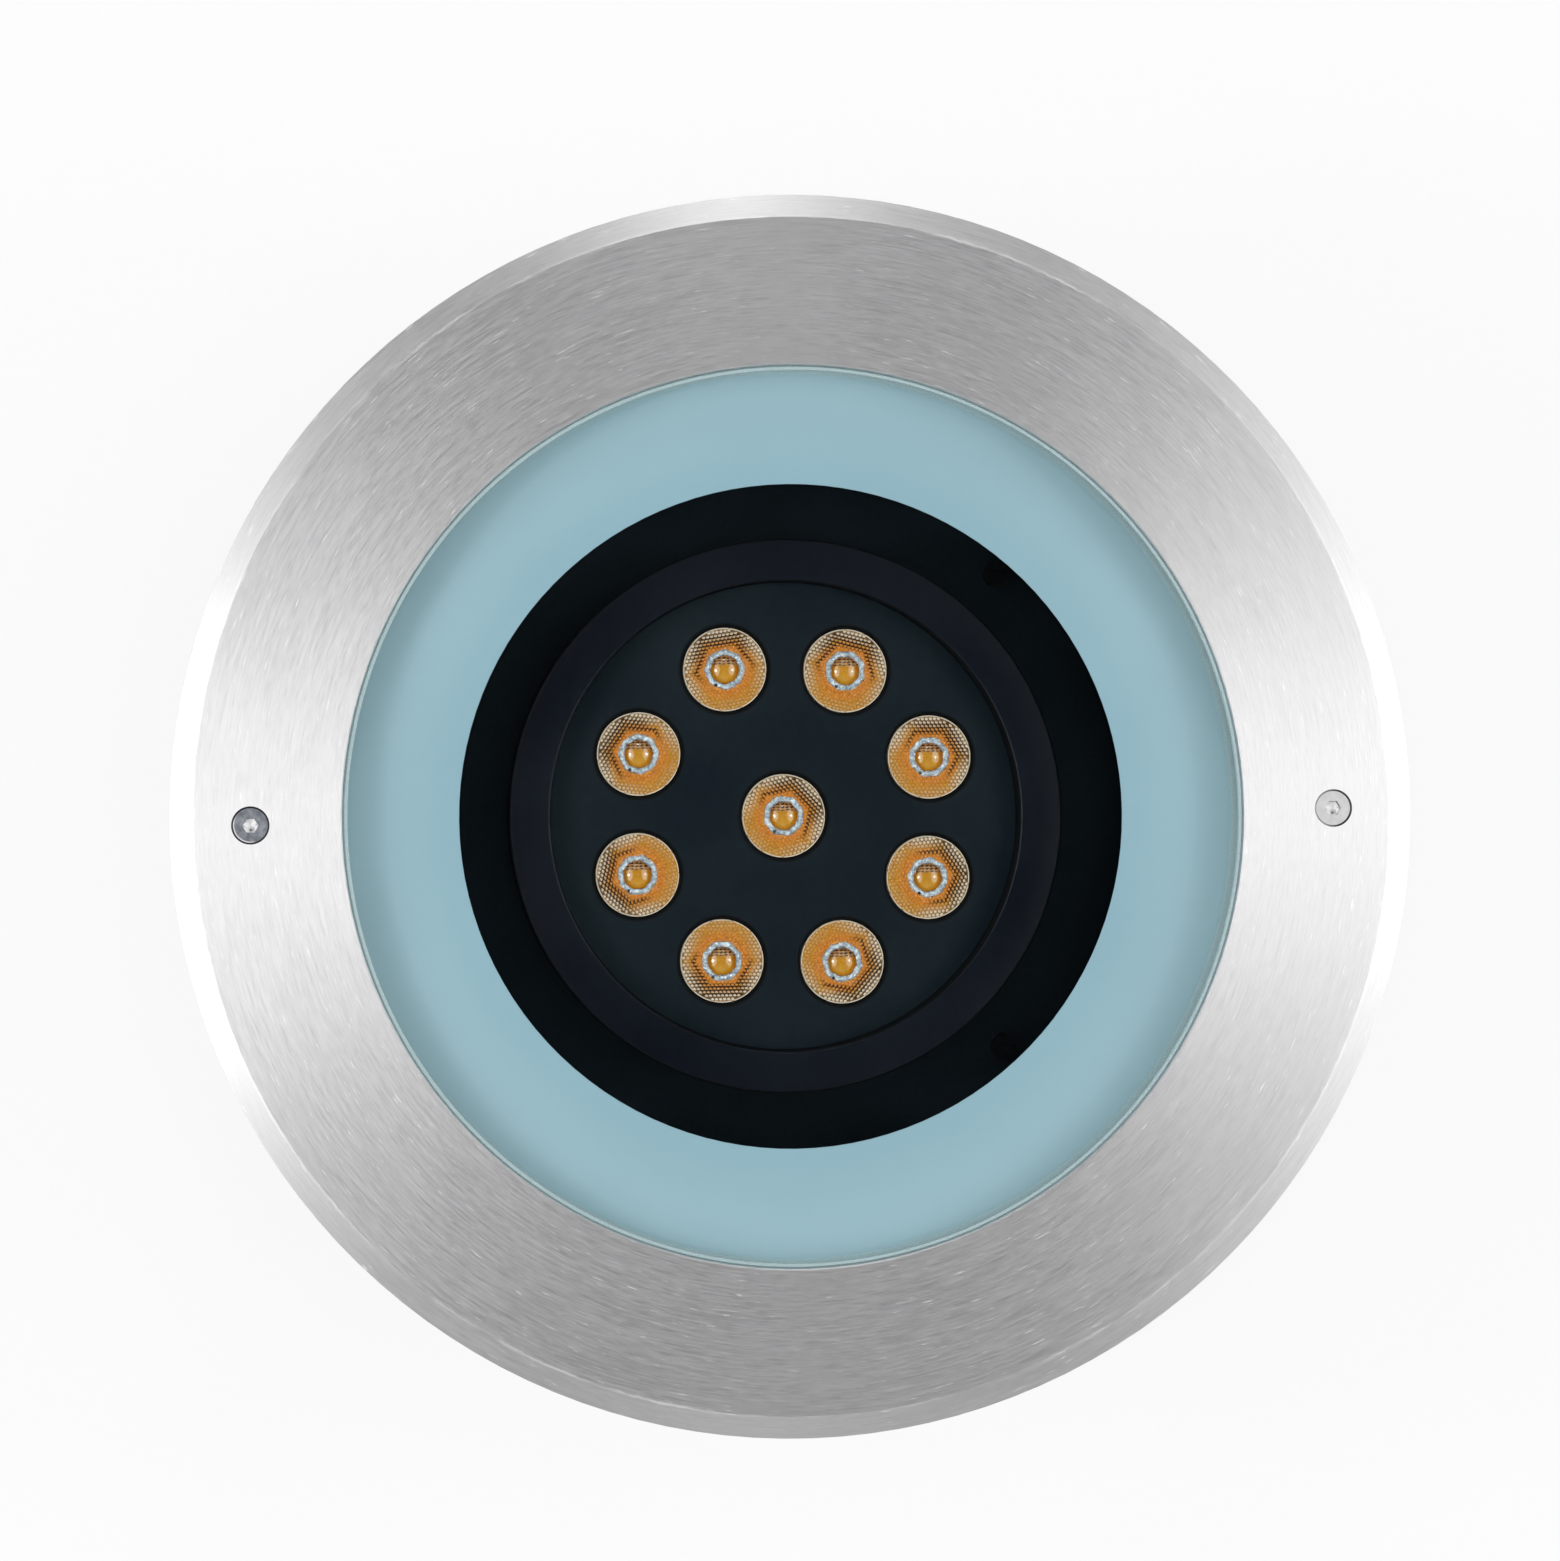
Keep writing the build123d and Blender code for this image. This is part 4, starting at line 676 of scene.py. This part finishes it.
def blackened_steel():
    """Black oxide on the screws deep in the housing."""
    finish, tree, surface = new_finish("chassis_screw_black_oxide")
    wear = noise(tree, object_place(tree), 600.0, 4.0, 0.65)
    steel = ramp(tree, wear, [(0.35, (0.012, 0.014, 0.017)), (0.7, (0.03, 0.033, 0.037))])
    coat(tree, surface, steel, spread(tree, wear, 0.45, 0.6),
         bump(tree, wear, 0.04 * MM, 0.5))
    set_values(surface, {"Metallic": 0.6})
    return finish


def make_finishes():
    """One finish for each material of the record; each lens gets its own later."""
    return {
        "sleeve_plastic": moulded_plastic(
            "sleeve_black_polypropylene", (0.012, 0.012, 0.013), (0.024, 0.024, 0.025), 0.5,
            grain=1100.0, depth=0.09 * MM),
        "brass": turned_metal("insert_brass", (0.52, 0.36, 0.14), (0.74, 0.55, 0.26), 0.345),
        "hub_plastic": moulded_plastic(
            "hub_grey_plastic", (0.15, 0.155, 0.16), (0.21, 0.215, 0.22), 0.45),
        "black_casting": casting_paint(),
        "seal_rubber": rubber("seal_silicone_black", (0.012, 0.012, 0.013), (0.035, 0.035, 0.037)),
        "cover_glass": clear_cover_glass(),
        "border_print": border_ink(),
        "clamp_steel": turned_metal(
            "clamp_ring_stainless", (0.48, 0.48, 0.49), (0.66, 0.66, 0.66), 0.36),
        "screw_steel": turned_metal(
            "screw_stainless", (0.50, 0.50, 0.51), (0.72, 0.72, 0.72), 0.345),
        "bezel_steel": brushed_bezel_steel(),
        "white_nylon": moulded_plastic(
            "washer_white_nylon", (0.72, 0.72, 0.69), (0.82, 0.82, 0.79), 0.4,
            grain=2200.0, depth=0.03 * MM, flow=80.0, through=0.2),
        "chassis_paint": powder_coat(
            "chassis_black_paint", (0.012, 0.019, 0.027), (0.019, 0.029, 0.040), 0.42),
        "yoke_paint": powder_coat(
            "yoke_black_paint", (0.006, 0.007, 0.0085), (0.011, 0.0125, 0.015), 0.46),
        "head_paint": ring_coat(
            "head_ring_black_paint", (0.0022, 0.0034, 0.0070), (0.0034, 0.0050, 0.0096)),
        "plate_paint": plate_coat(
            "lens_plate_black_paint", (0.0044, 0.0085, 0.0126), (0.0066, 0.0116, 0.0160)),
        "dark_aluminium": turned_metal(
            "heat_sink_dark_anodised", (0.05, 0.052, 0.056), (0.10, 0.102, 0.108), 0.4),
        "pad_rubber": rubber("thermal_pad_grey", (0.20, 0.21, 0.22), (0.30, 0.31, 0.32)),
        "board_white": board_white(),
        "led_ceramic": led_ceramic(),
        "led_amber": led_phosphor(),
        "driver_plastic": moulded_plastic(
            "driver_case_white_plastic", (0.55, 0.55, 0.53), (0.66, 0.66, 0.64), 0.45),
        "circuit_board": board_green(),
        "terminal_plastic": moulded_plastic(
            "terminal_ivory_plastic", (0.52, 0.50, 0.44), (0.66, 0.64, 0.57), 0.42),
        "gland_plastic": moulded_plastic(
            "gland_black_polyamide", (0.014, 0.014, 0.015), (0.028, 0.028, 0.030), 0.4,
            grain=1800.0),
    }


# ---------------------------------------------------------------- modelling helpers

def set_mode(mode):
    bpy.ops.object.mode_set(mode=mode)


def clear_selection():
    if bpy.context.object and bpy.context.object.mode != "OBJECT":
        set_mode("OBJECT")
    bpy.ops.object.select_all(action="DESELECT")


def take_up(piece):
    clear_selection()
    piece.select_set(True)
    bpy.context.view_layer.objects.active = piece


def named(piece, name):
    piece.name = name
    piece.data.name = name
    return piece


def named_new(name):
    return named(bpy.context.object, name)


def set_in_place(piece):
    """Puts the piece's place, turn and size into its mesh."""
    take_up(piece)
    bpy.ops.object.transform_apply(location=True, rotation=True, scale=True)


def pick(piece, kind, rule):
    """Selects the vertices or the faces that pass the rule, and opens edit mode."""
    take_up(piece)
    set_mode("EDIT")
    bpy.ops.mesh.select_mode(type=kind)
    bpy.ops.mesh.select_all(action="DESELECT")
    set_mode("OBJECT")
    for element in piece.data.vertices if kind == "VERT" else piece.data.polygons:
        element.select = rule(element)
    set_mode("EDIT")


def smooth(piece, angle):
    take_up(piece)
    bpy.ops.object.shade_smooth_by_angle(angle=math.radians(angle))


def dress(piece, finish, body):
    """Gives the piece its finish, and hangs it under the empty of its body."""
    piece.data.materials.clear()
    piece.data.materials.append(finish)
    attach(piece, body)


def repeat(piece, offset, count):
    take_up(piece)
    rows = piece.modifiers.new("rows", "ARRAY")
    rows.use_relative_offset = False
    rows.use_constant_offset = True
    rows.constant_offset_displace = offset
    rows.count = count
    bpy.ops.object.modifier_apply(modifier=rows.name)


# ---------------------------------------------------------------- the cover glass

PANE_SEGMENTS = 288
PANE_FLANGE_RADIUS = 114.45 * MM
PANE_RADIUS = 108.45 * MM
PANE_ARRIS = 0.8 * MM
PANE_LOW_Z = 197.95 * MM
PANE_STEP_Z = 202.93 * MM
PANE_TOP_Z = 209.88 * MM


def build_pane(finish):
    """A thick disc, its upper part stepped in to stand in the bezel, with a ground arris."""
    clear_selection()
    bpy.ops.mesh.primitive_cylinder_add(
        vertices=PANE_SEGMENTS, radius=PANE_FLANGE_RADIUS, depth=PANE_STEP_Z - PANE_LOW_Z,
        location=(0, 0, (PANE_STEP_Z + PANE_LOW_Z) / 2))
    pane = named_new("cover_glass_pane")
    set_in_place(pane)
    pick(pane, "FACE", lambda face: face.normal.z > 0.9)
    bpy.ops.mesh.inset(thickness=PANE_FLANGE_RADIUS - PANE_RADIUS)
    rise = {"value": (0, 0, PANE_TOP_Z - PANE_STEP_Z)}
    bpy.ops.mesh.extrude_region_move(TRANSFORM_OT_translate=rise)
    bpy.ops.mesh.bevel(offset=PANE_ARRIS, segments=1, affect="EDGES")
    set_mode("OBJECT")
    smooth(pane, 30.0)
    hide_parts("cover_glass")
    dress(pane, finish, "luminaire")


# ---------------------------------------------------------------- the head ring

RING_SEGMENTS = 192
RING_RADIUS = 68.4 * MM
RING_BORE = 58.0 * MM
RING_SKIRT = 60.0 * MM
RING_SKIRT_BORE = 56.0 * MM
RING_TOP_Z = 180.003 * MM
RING_SHELF_Z = 169.003 * MM
RING_UNDER_Z = 168.003 * MM
RING_SKIRT_Z = 155.703 * MM
RING_OUTER_ROUND = 0.8 * MM
RING_INNER_ROUND = 0.7 * MM
RING_ROUND_SEGMENTS = 5
MERGE_WITHIN = 0.01 * MM
CLOSE_BY = 0.02 * MM


def turn_ring(name, outline, segments):
    """A closed ring, turned from a circle that is drawn out and scaled from corner to corner."""
    clear_selection()
    radius, height = outline[0]
    bpy.ops.mesh.primitive_circle_add(vertices=segments, radius=radius, fill_type="NOTHING",
                                      location=(0, 0, height))
    ring = named_new(name)
    set_in_place(ring)
    take_up(ring)
    set_mode("EDIT")
    bpy.ops.mesh.select_mode(type="EDGE")
    bpy.ops.mesh.select_all(action="SELECT")
    for next_radius, next_height in outline[1:] + outline[:1]:
        rise = {"value": (0, 0, next_height - height)}
        bpy.ops.mesh.extrude_edges_move(TRANSFORM_OT_translate=rise)
        grow = next_radius / radius
        bpy.ops.transform.resize(value=(grow, grow, 1.0), center_override=(0, 0, next_height))
        radius, height = next_radius, next_height
    bpy.ops.mesh.select_all(action="SELECT")
    bpy.ops.mesh.remove_doubles(threshold=MERGE_WITHIN)
    bpy.ops.mesh.normals_make_consistent(inside=False)
    set_mode("OBJECT")
    return ring


def round_circle(ring, radius, height, offset):
    """Rounds the edges that run in a circle at a radius and a height."""
    def on_circle(vertex):
        off_radius = abs(math.hypot(vertex.co.x, vertex.co.y) - radius)
        return off_radius < CLOSE_BY and abs(vertex.co.z - height) < CLOSE_BY

    pick(ring, "VERT", on_circle)
    bpy.ops.mesh.select_mode(type="EDGE")
    bpy.ops.mesh.bevel(offset=offset, segments=RING_ROUND_SEGMENTS, affect="EDGES")
    set_mode("OBJECT")


def build_head_ring(finish):
    ring = turn_ring("head_ring_turned", [
        (RING_SKIRT_BORE, RING_SKIRT_Z), (RING_SKIRT, RING_SKIRT_Z), (RING_SKIRT, RING_UNDER_Z),
        (RING_RADIUS, RING_UNDER_Z), (RING_RADIUS, RING_TOP_Z), (RING_BORE, RING_TOP_Z),
        (RING_BORE, RING_SHELF_Z), (RING_SKIRT_BORE, RING_SHELF_Z),
    ], RING_SEGMENTS)
    round_circle(ring, RING_RADIUS, RING_TOP_Z, RING_OUTER_ROUND)
    round_circle(ring, RING_BORE, RING_TOP_Z, RING_INNER_ROUND)
    smooth(ring, 35.0)
    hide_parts("head_ring")
    dress(ring, finish, "head")


# ---------------------------------------------------------------- the lenses

LENS_MAP = "lens_place"
BEAD_MAP = "bead_place"
ROW_MAP = "row_place"
LENS_FACE_RADIUS = 10.3 * MM
LENS_FACE_Z = 171.003 * MM
# How far out the sides of a hexagon lie, as a share of its mean radius.
ROW_EVEN = 0.955
BEAD_POINTS = 12
BEAD_PITCH = 1.0 * MM
BEAD_RADIUS = 0.52 * MM
BEAD_RISE = 0.62
BEAD_ZONE = (5.15 * MM, 9.85 * MM)
BEADS_EACH_WAY = 11
ROWS_EACH_WAY = 6
COLLAR_RADIUS = 4.30 * MM
COLLAR_SECTION = 0.76 * MM
COLLAR_RISE = 0.55
COLLAR_SIDES = 8
COLLAR_SWELL = 1.035
COLLAR_PRESSED = 0.8
EYE_CURVE = 6.0 * MM
EYE_RADIUS = 3.78 * MM
EYE_TOP_Z = 170.85 * MM

# Degrees for each lens: how far its rows of beads are turned, and the side that gets the painted
# shade.
LENS_TURNS = {
    "lens_middle": (13.0, 50.0), "lens_1": (0.0, 55.0), "lens_2": (-15.0, 78.0),
    "lens_3": (8.0, 105.0), "lens_4": (-6.0, 135.0), "lens_5": (17.0, 195.0),
    "lens_6": (0.0, 262.0), "lens_7": (-11.0, 322.0), "lens_8": (5.0, 12.0),
}


def lens_centre(name):
    low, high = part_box(name)
    return Vector(((low[0] + high[0]) / 2, (low[1] + high[1]) / 2, 0.0))


def middle_of(points, start):
    """The middle of the bead whose points begin at start."""
    return sum(points[start:start + BEAD_POINTS], Vector()) / BEAD_POINTS


def model_bead_sheet():
    """One bead, repeated in close-packed rows and trimmed to the ring that carries beads."""
    clear_selection()
    bpy.ops.mesh.primitive_ico_sphere_add(subdivisions=1, radius=BEAD_RADIUS, location=(0, 0, 0))
    sheet = named_new("bead_sheet")
    sheet.scale.z = BEAD_RISE
    set_in_place(sheet)
    row_step = BEAD_PITCH * math.sqrt(3.0)
    corner = (-BEADS_EACH_WAY * BEAD_PITCH, -ROWS_EACH_WAY * row_step, LENS_FACE_Z)
    sheet.data.transform(Matrix.Translation(corner))
    repeat(sheet, (BEAD_PITCH, 0.0, 0.0), 2 * BEADS_EACH_WAY + 1)
    take_up(sheet)
    bpy.ops.object.duplicate()
    between = named_new("bead_sheet_between")
    between.data.transform(Matrix.Translation((BEAD_PITCH / 2, row_step / 2, 0.0)))
    clear_selection()
    between.select_set(True)
    sheet.select_set(True)
    bpy.context.view_layer.objects.active = sheet
    bpy.ops.object.join()
    repeat(sheet, (0.0, row_step, 0.0), 2 * ROWS_EACH_WAY + 1)
    places = [vertex.co.copy() for vertex in sheet.data.vertices]
    outside = set()
    for start in range(0, len(places), BEAD_POINTS):
        middle = middle_of(places, start)
        if not BEAD_ZONE[0] < math.hypot(middle.x, middle.y) < BEAD_ZONE[1]:
            outside.update(range(start, start + BEAD_POINTS))
    pick(sheet, "VERT", lambda vertex: vertex.index in outside)
    bpy.ops.mesh.delete(type="VERT")
    set_mode("OBJECT")
    take_up(sheet)
    bpy.ops.object.shade_smooth()
    return sheet


def crumple(piece, rule, depth, seed):
    """Moves the vertices that pass the rule at random, by up to the depth."""
    pick(piece, "VERT", rule)
    bpy.ops.transform.vertex_random(offset=depth, seed=seed)
    set_mode("OBJECT")


def model_collar():
    """A flattened ring, pressed into eight loose sides and crumpled."""
    clear_selection()
    bpy.ops.mesh.primitive_torus_add(major_radius=COLLAR_RADIUS, minor_radius=COLLAR_SECTION,
                                     major_segments=56, minor_segments=8, location=(0, 0, 0))
    collar = named_new("collar")
    collar.scale.z = COLLAR_RISE
    set_in_place(collar)
    half_side = math.pi / COLLAR_SIDES
    for vertex in collar.data.vertices:
        angle = math.atan2(vertex.co.y, vertex.co.x)
        from_middle = (angle + half_side) % (2.0 * half_side) - half_side
        pull = math.cos(half_side) / math.cos(from_middle)
        pull = 1.0 + (pull * COLLAR_SWELL - 1.0) * COLLAR_PRESSED
        vertex.co.x *= pull
        vertex.co.y *= pull
    crumple(collar, lambda vertex: True, 0.16 * MM, 9)
    crumple(collar, lambda vertex: vertex.co.z > -COLLAR_SECTION * 0.2, 0.26 * MM, 4)
    collar.data.transform(Matrix.Translation((0.0, 0.0, LENS_FACE_Z)))
    take_up(collar)
    bpy.ops.object.shade_smooth()
    return collar


def model_eye():
    """The shallow cap in the middle: the top of a sphere, cut flat underneath."""
    clear_selection()
    bpy.ops.mesh.primitive_uv_sphere_add(segments=40, ring_count=48, radius=EYE_CURVE,
                                         location=(0, 0, 0))
    eye = named_new("eye")
    level = math.sqrt(EYE_CURVE ** 2 - EYE_RADIUS ** 2)
    take_up(eye)
    set_mode("EDIT")
    bpy.ops.mesh.select_all(action="SELECT")
    bpy.ops.mesh.bisect(plane_co=(0, 0, level), plane_no=(0, 0, 1), clear_inner=True,
                        use_fill=True)
    bpy.ops.mesh.select_all(action="SELECT")
    bpy.ops.mesh.normals_make_consistent(inside=False)
    set_mode("OBJECT")
    eye.data.transform(Matrix.Translation((0.0, 0.0, EYE_TOP_Z - EYE_CURVE)))
    smooth(eye, 50.0)
    return eye


def map_place(piece, centre, turn):
    """A map of the place on the lens seen from above, 0 to 1 over its width and height."""
    layer = piece.data.uv_layers.new(name=LENS_MAP)
    turned = Matrix.Rotation(turn, 3, "Z")
    for loop in piece.data.loops:
        place = piece.data.vertices[loop.vertex_index].co - centre
        place = turned @ place / LENS_FACE_RADIUS
        layer.data[loop.index].uv = (place.x / 2 + 0.5, place.y / 2 + 0.5)


def row_normals(turn):
    """The three directions square to the rows of beads, which are turned by the angle."""
    angles = [turn + math.radians(30.0 + 60.0 * k) for k in range(3)]
    return [Vector((math.cos(angle), math.sin(angle), 0.0)) for angle in angles]


def map_beads(piece, centre, row_turn, to_dark):
    """Two maps: the place on each bead, up on its dark side, and its row and side of the lens."""
    own = piece.data.uv_layers.new(name=BEAD_MAP)
    row = piece.data.uv_layers.new(name=ROW_MAP)
    turned = Matrix.Rotation(to_dark, 3, "Z")
    normals = row_normals(row_turn + to_dark)
    points = [turned @ (vertex.co - centre) for vertex in piece.data.vertices]
    middles = [middle_of(points, start) for start in range(0, len(points), BEAD_POINTS)]
    for loop in piece.data.loops:
        middle = middles[loop.vertex_index // BEAD_POINTS]
        offset = (points[loop.vertex_index] - middle) / BEAD_RADIUS
        own.data[loop.index].uv = (offset.x / 2 + 0.5, offset.y / 2 + 0.5)
        reach = max(abs(middle.dot(normal)) for normal in normals) / LENS_FACE_RADIUS / ROW_EVEN
        side = middle.y / math.hypot(middle.x, middle.y)
        row.data[loop.index].uv = (reach, side / 2 + 0.5)


def copy_to(source, name, centre, turn, map_turn=0.0):
    piece = source.copy()
    piece.data = source.data.copy()
    named(piece, name)
    bpy.context.scene.collection.objects.link(piece)
    piece.data.transform(Matrix.Translation(centre) @ Matrix.Rotation(turn, 4, "Z"))
    while piece.data.uv_layers:
        piece.data.uv_layers.remove(piece.data.uv_layers[0])
    map_place(piece, centre, map_turn)
    return piece


def build_lenses():
    sheet = model_bead_sheet()
    collar = model_collar()
    eye = model_eye()
    bead_finish = lens_beads_resin()
    collar_finish = lens_collar_painted_reflection()
    eye_finish = lens_eye_resin()
    for name, (rows_at, dark_at) in LENS_TURNS.items():
        centre = lens_centre(name)
        row_turn = math.radians(rows_at)
        to_dark = math.radians(90.0 - dark_at)
        for slot in nodes[name].material_slots:
            slot.material = lens_resin(name + "_resin", centre, to_dark, row_turn + to_dark)
        beads = copy_to(sheet, name + "_beads", centre, row_turn, to_dark)
        map_beads(beads, centre, row_turn, to_dark)
        dress(beads, bead_finish, "head")
        own_collar = copy_to(collar, name + "_collar", centre, row_turn * 3.0)
        dress(own_collar, collar_finish, "head")
        dress(copy_to(eye, name + "_eye", centre, 0.0), eye_finish, "head")
    for source in (sheet, collar, eye):
        bpy.data.objects.remove(source)


# ---------------------------------------------------------------- studio

WHITE = rgba((1.0, 1.0, 1.0))
FLOOR_SIZE = 9.0
FLOOR_Z = -0.4 * MM
LAMPS_AIM = Vector((0.0, 0.0, 0.2))

# Name; azimuth and zenith in degrees; distance, width and height in metres; radiance.
SOFTBOXES = (
    ("softbox_right", 1.0, 42.0, 1.3, 0.95, 1.25, 2.05),
    ("softbox_left", 182.0, 42.0, 1.3, 0.95, 1.25, 2.25),
    ("softbox_right_middle", 1.0, 41.0, 1.29, 0.20, 0.20, 13.5),
    ("softbox_left_middle", 181.0, 41.0, 1.29, 0.22, 0.22, 18.0),
    ("softbox_top", 90.0, 55.0, 1.3, 0.36, 0.24, 8.5),
    ("softbox_bottom", 270.0, 56.0, 1.3, 0.60, 0.60, 0.45),
)
OVERHEAD = ("overhead_fill", 0.0, 0.0, 1.6, 0.66, 0.66, 6.9)


def build_floor():
    """White paper, dark under the sleeve, where it shows through the bores of the hubs."""
    clear_selection()
    bpy.ops.mesh.primitive_plane_add(size=FLOOR_SIZE, location=(0, 0, FLOOR_Z))
    floor = named_new("floor")
    finish, tree, surface = new_finish("floor_paper")
    tree.nodes.remove(surface)
    place = object_place(tree)
    paper_grain = noise(tree, place, 260.0, 2.0, 0.5)
    paper = put(tree, "ShaderNodeBsdfDiffuse", {
        "Color": ramp(tree, paper_grain, [(0.3, (0.84, 0.84, 0.84)), (0.7, (0.88, 0.88, 0.88))])})
    white = put(tree, "ShaderNodeEmission", {"Color": WHITE, "Strength": 1.0})
    path = put(tree, "ShaderNodeLightPath").outputs
    seen = calc(tree, "MAXIMUM", path["Is Camera Ray"], path["Is Glossy Ray"])
    seen = calc(tree, "MAXIMUM", seen, path["Is Transmission Ray"])
    away = distance(tree, place)
    share = times(tree, seen, fade(tree, away, 0.18, 1.4, 0.86, 1.0))
    share = times(tree, share, fade(tree, away, 0.125, 0.138))
    mixed = put(tree, "ShaderNodeMixShader", {0: share, 1: paper.outputs[0], 2: white.outputs[0]})
    tree.links.new(mixed.outputs[0], tree.nodes["Material Output"].inputs["Surface"])
    floor.data.materials.append(finish)


def build_world():
    """White behind the object; for light and gloss, a room pale low down and dark overhead."""
    world = bpy.data.worlds.new("studio")
    bpy.context.scene.world = world
    world.use_nodes = True
    tree = world.node_tree
    tree.nodes.clear()
    direction = put(tree, "ShaderNodeTexCoord").outputs["Generated"]
    room = ramp(tree, parts_of(tree, direction)["Z"], [
        (0.0, (0.75, 0.75, 0.75)), (0.30, (0.70, 0.70, 0.70)), (0.60, (0.58, 0.58, 0.58)),
        (0.86, (0.40, 0.40, 0.405)), (0.94, (0.18, 0.18, 0.185)), (0.975, (0.03, 0.032, 0.035)),
        (1.0, (0.015, 0.017, 0.02)),
    ])
    path = put(tree, "ShaderNodeLightPath").outputs
    seen = calc(tree, "MAXIMUM", path["Is Camera Ray"], path["Is Transmission Ray"])
    level = fade(tree, path["Is Glossy Ray"], 0.0, 1.0, 0.45, 0.62)
    studio = put(tree, "ShaderNodeBackground", {"Color": room, "Strength": level})
    white = put(tree, "ShaderNodeBackground", {"Color": WHITE, "Strength": 1.0})
    mixed = put(tree, "ShaderNodeMixShader", {0: seen, 1: studio.outputs[0], 2: white.outputs[0]})
    end = put(tree, "ShaderNodeOutputWorld")
    tree.links.new(mixed.outputs[0], end.inputs["Surface"])


def softbox(name, azimuth, zenith, far, wide, tall, radiance):
    """A soft elliptic lamp looking at the object."""
    lamp_data = bpy.data.lights.new(name, "AREA")
    lamp_data.shape = "ELLIPSE"
    lamp_data.size = wide
    lamp_data.size_y = tall
    lamp_data.energy = radiance * math.pi * wide * tall * math.pi / 4
    lamp = bpy.data.objects.new(name, lamp_data)
    bpy.context.scene.collection.objects.link(lamp)
    lean = math.radians(zenith)
    around = math.radians(azimuth)
    out = Vector((math.sin(lean) * math.cos(around), math.sin(lean) * math.sin(around),
                  math.cos(lean)))
    lamp.location = LAMPS_AIM + out * far
    lamp.rotation_euler = out.to_track_quat("Z", "X").to_euler()
    lamp.visible_camera = False
    return lamp


def build_lamps():
    for numbers in SOFTBOXES:
        softbox(*numbers)
    softbox(*OVERHEAD).visible_glossy = False


# ---------------------------------------------------------------- build

# Finish, place along x, then its dark, its light and its lit rim colour. The two screws are alike:
# the left one is painted darker as painted shade, the right one lighter as painted light.
BEZEL_SCREWS = {
    "bezel_screw_left": ("bezel_screw_steel_painted_shade", -BEZEL_SCREW_CIRCLE,
                         (0.120, 0.130, 0.152), (0.265, 0.275, 0.305), (0.62, 0.62, 0.63)),
    "bezel_screw_right": ("bezel_screw_steel_painted_light", BEZEL_SCREW_CIRCLE,
                          (0.52, 0.515, 0.52), (0.60, 0.60, 0.60), (0.56, 0.56, 0.56)),
}

place_camera()
finishes = make_finishes()
for node in nodes.values():
    for material_slot in node.material_slots:
        material_name = material_slot.material.name
        if material_name in finishes:
            material_slot.material = finishes[material_name]
nodes["chassis_screws"].material_slots[0].material = blackened_steel()
for screw_name, (finish_name, screw_x, *colours) in BEZEL_SCREWS.items():
    screw_centre = (screw_x, 0.0, BEZEL_SCREW_TOP)
    screw_finish = bezel_screw_steel(finish_name, screw_centre, *colours)
    nodes[screw_name].material_slots[0].material = screw_finish
build_pane(finishes["cover_glass"])
build_head_ring(finishes["head_paint"])
build_lenses()
build_floor()
build_world()
build_lamps()

bpy.context.scene.view_settings.view_transform = "Standard"
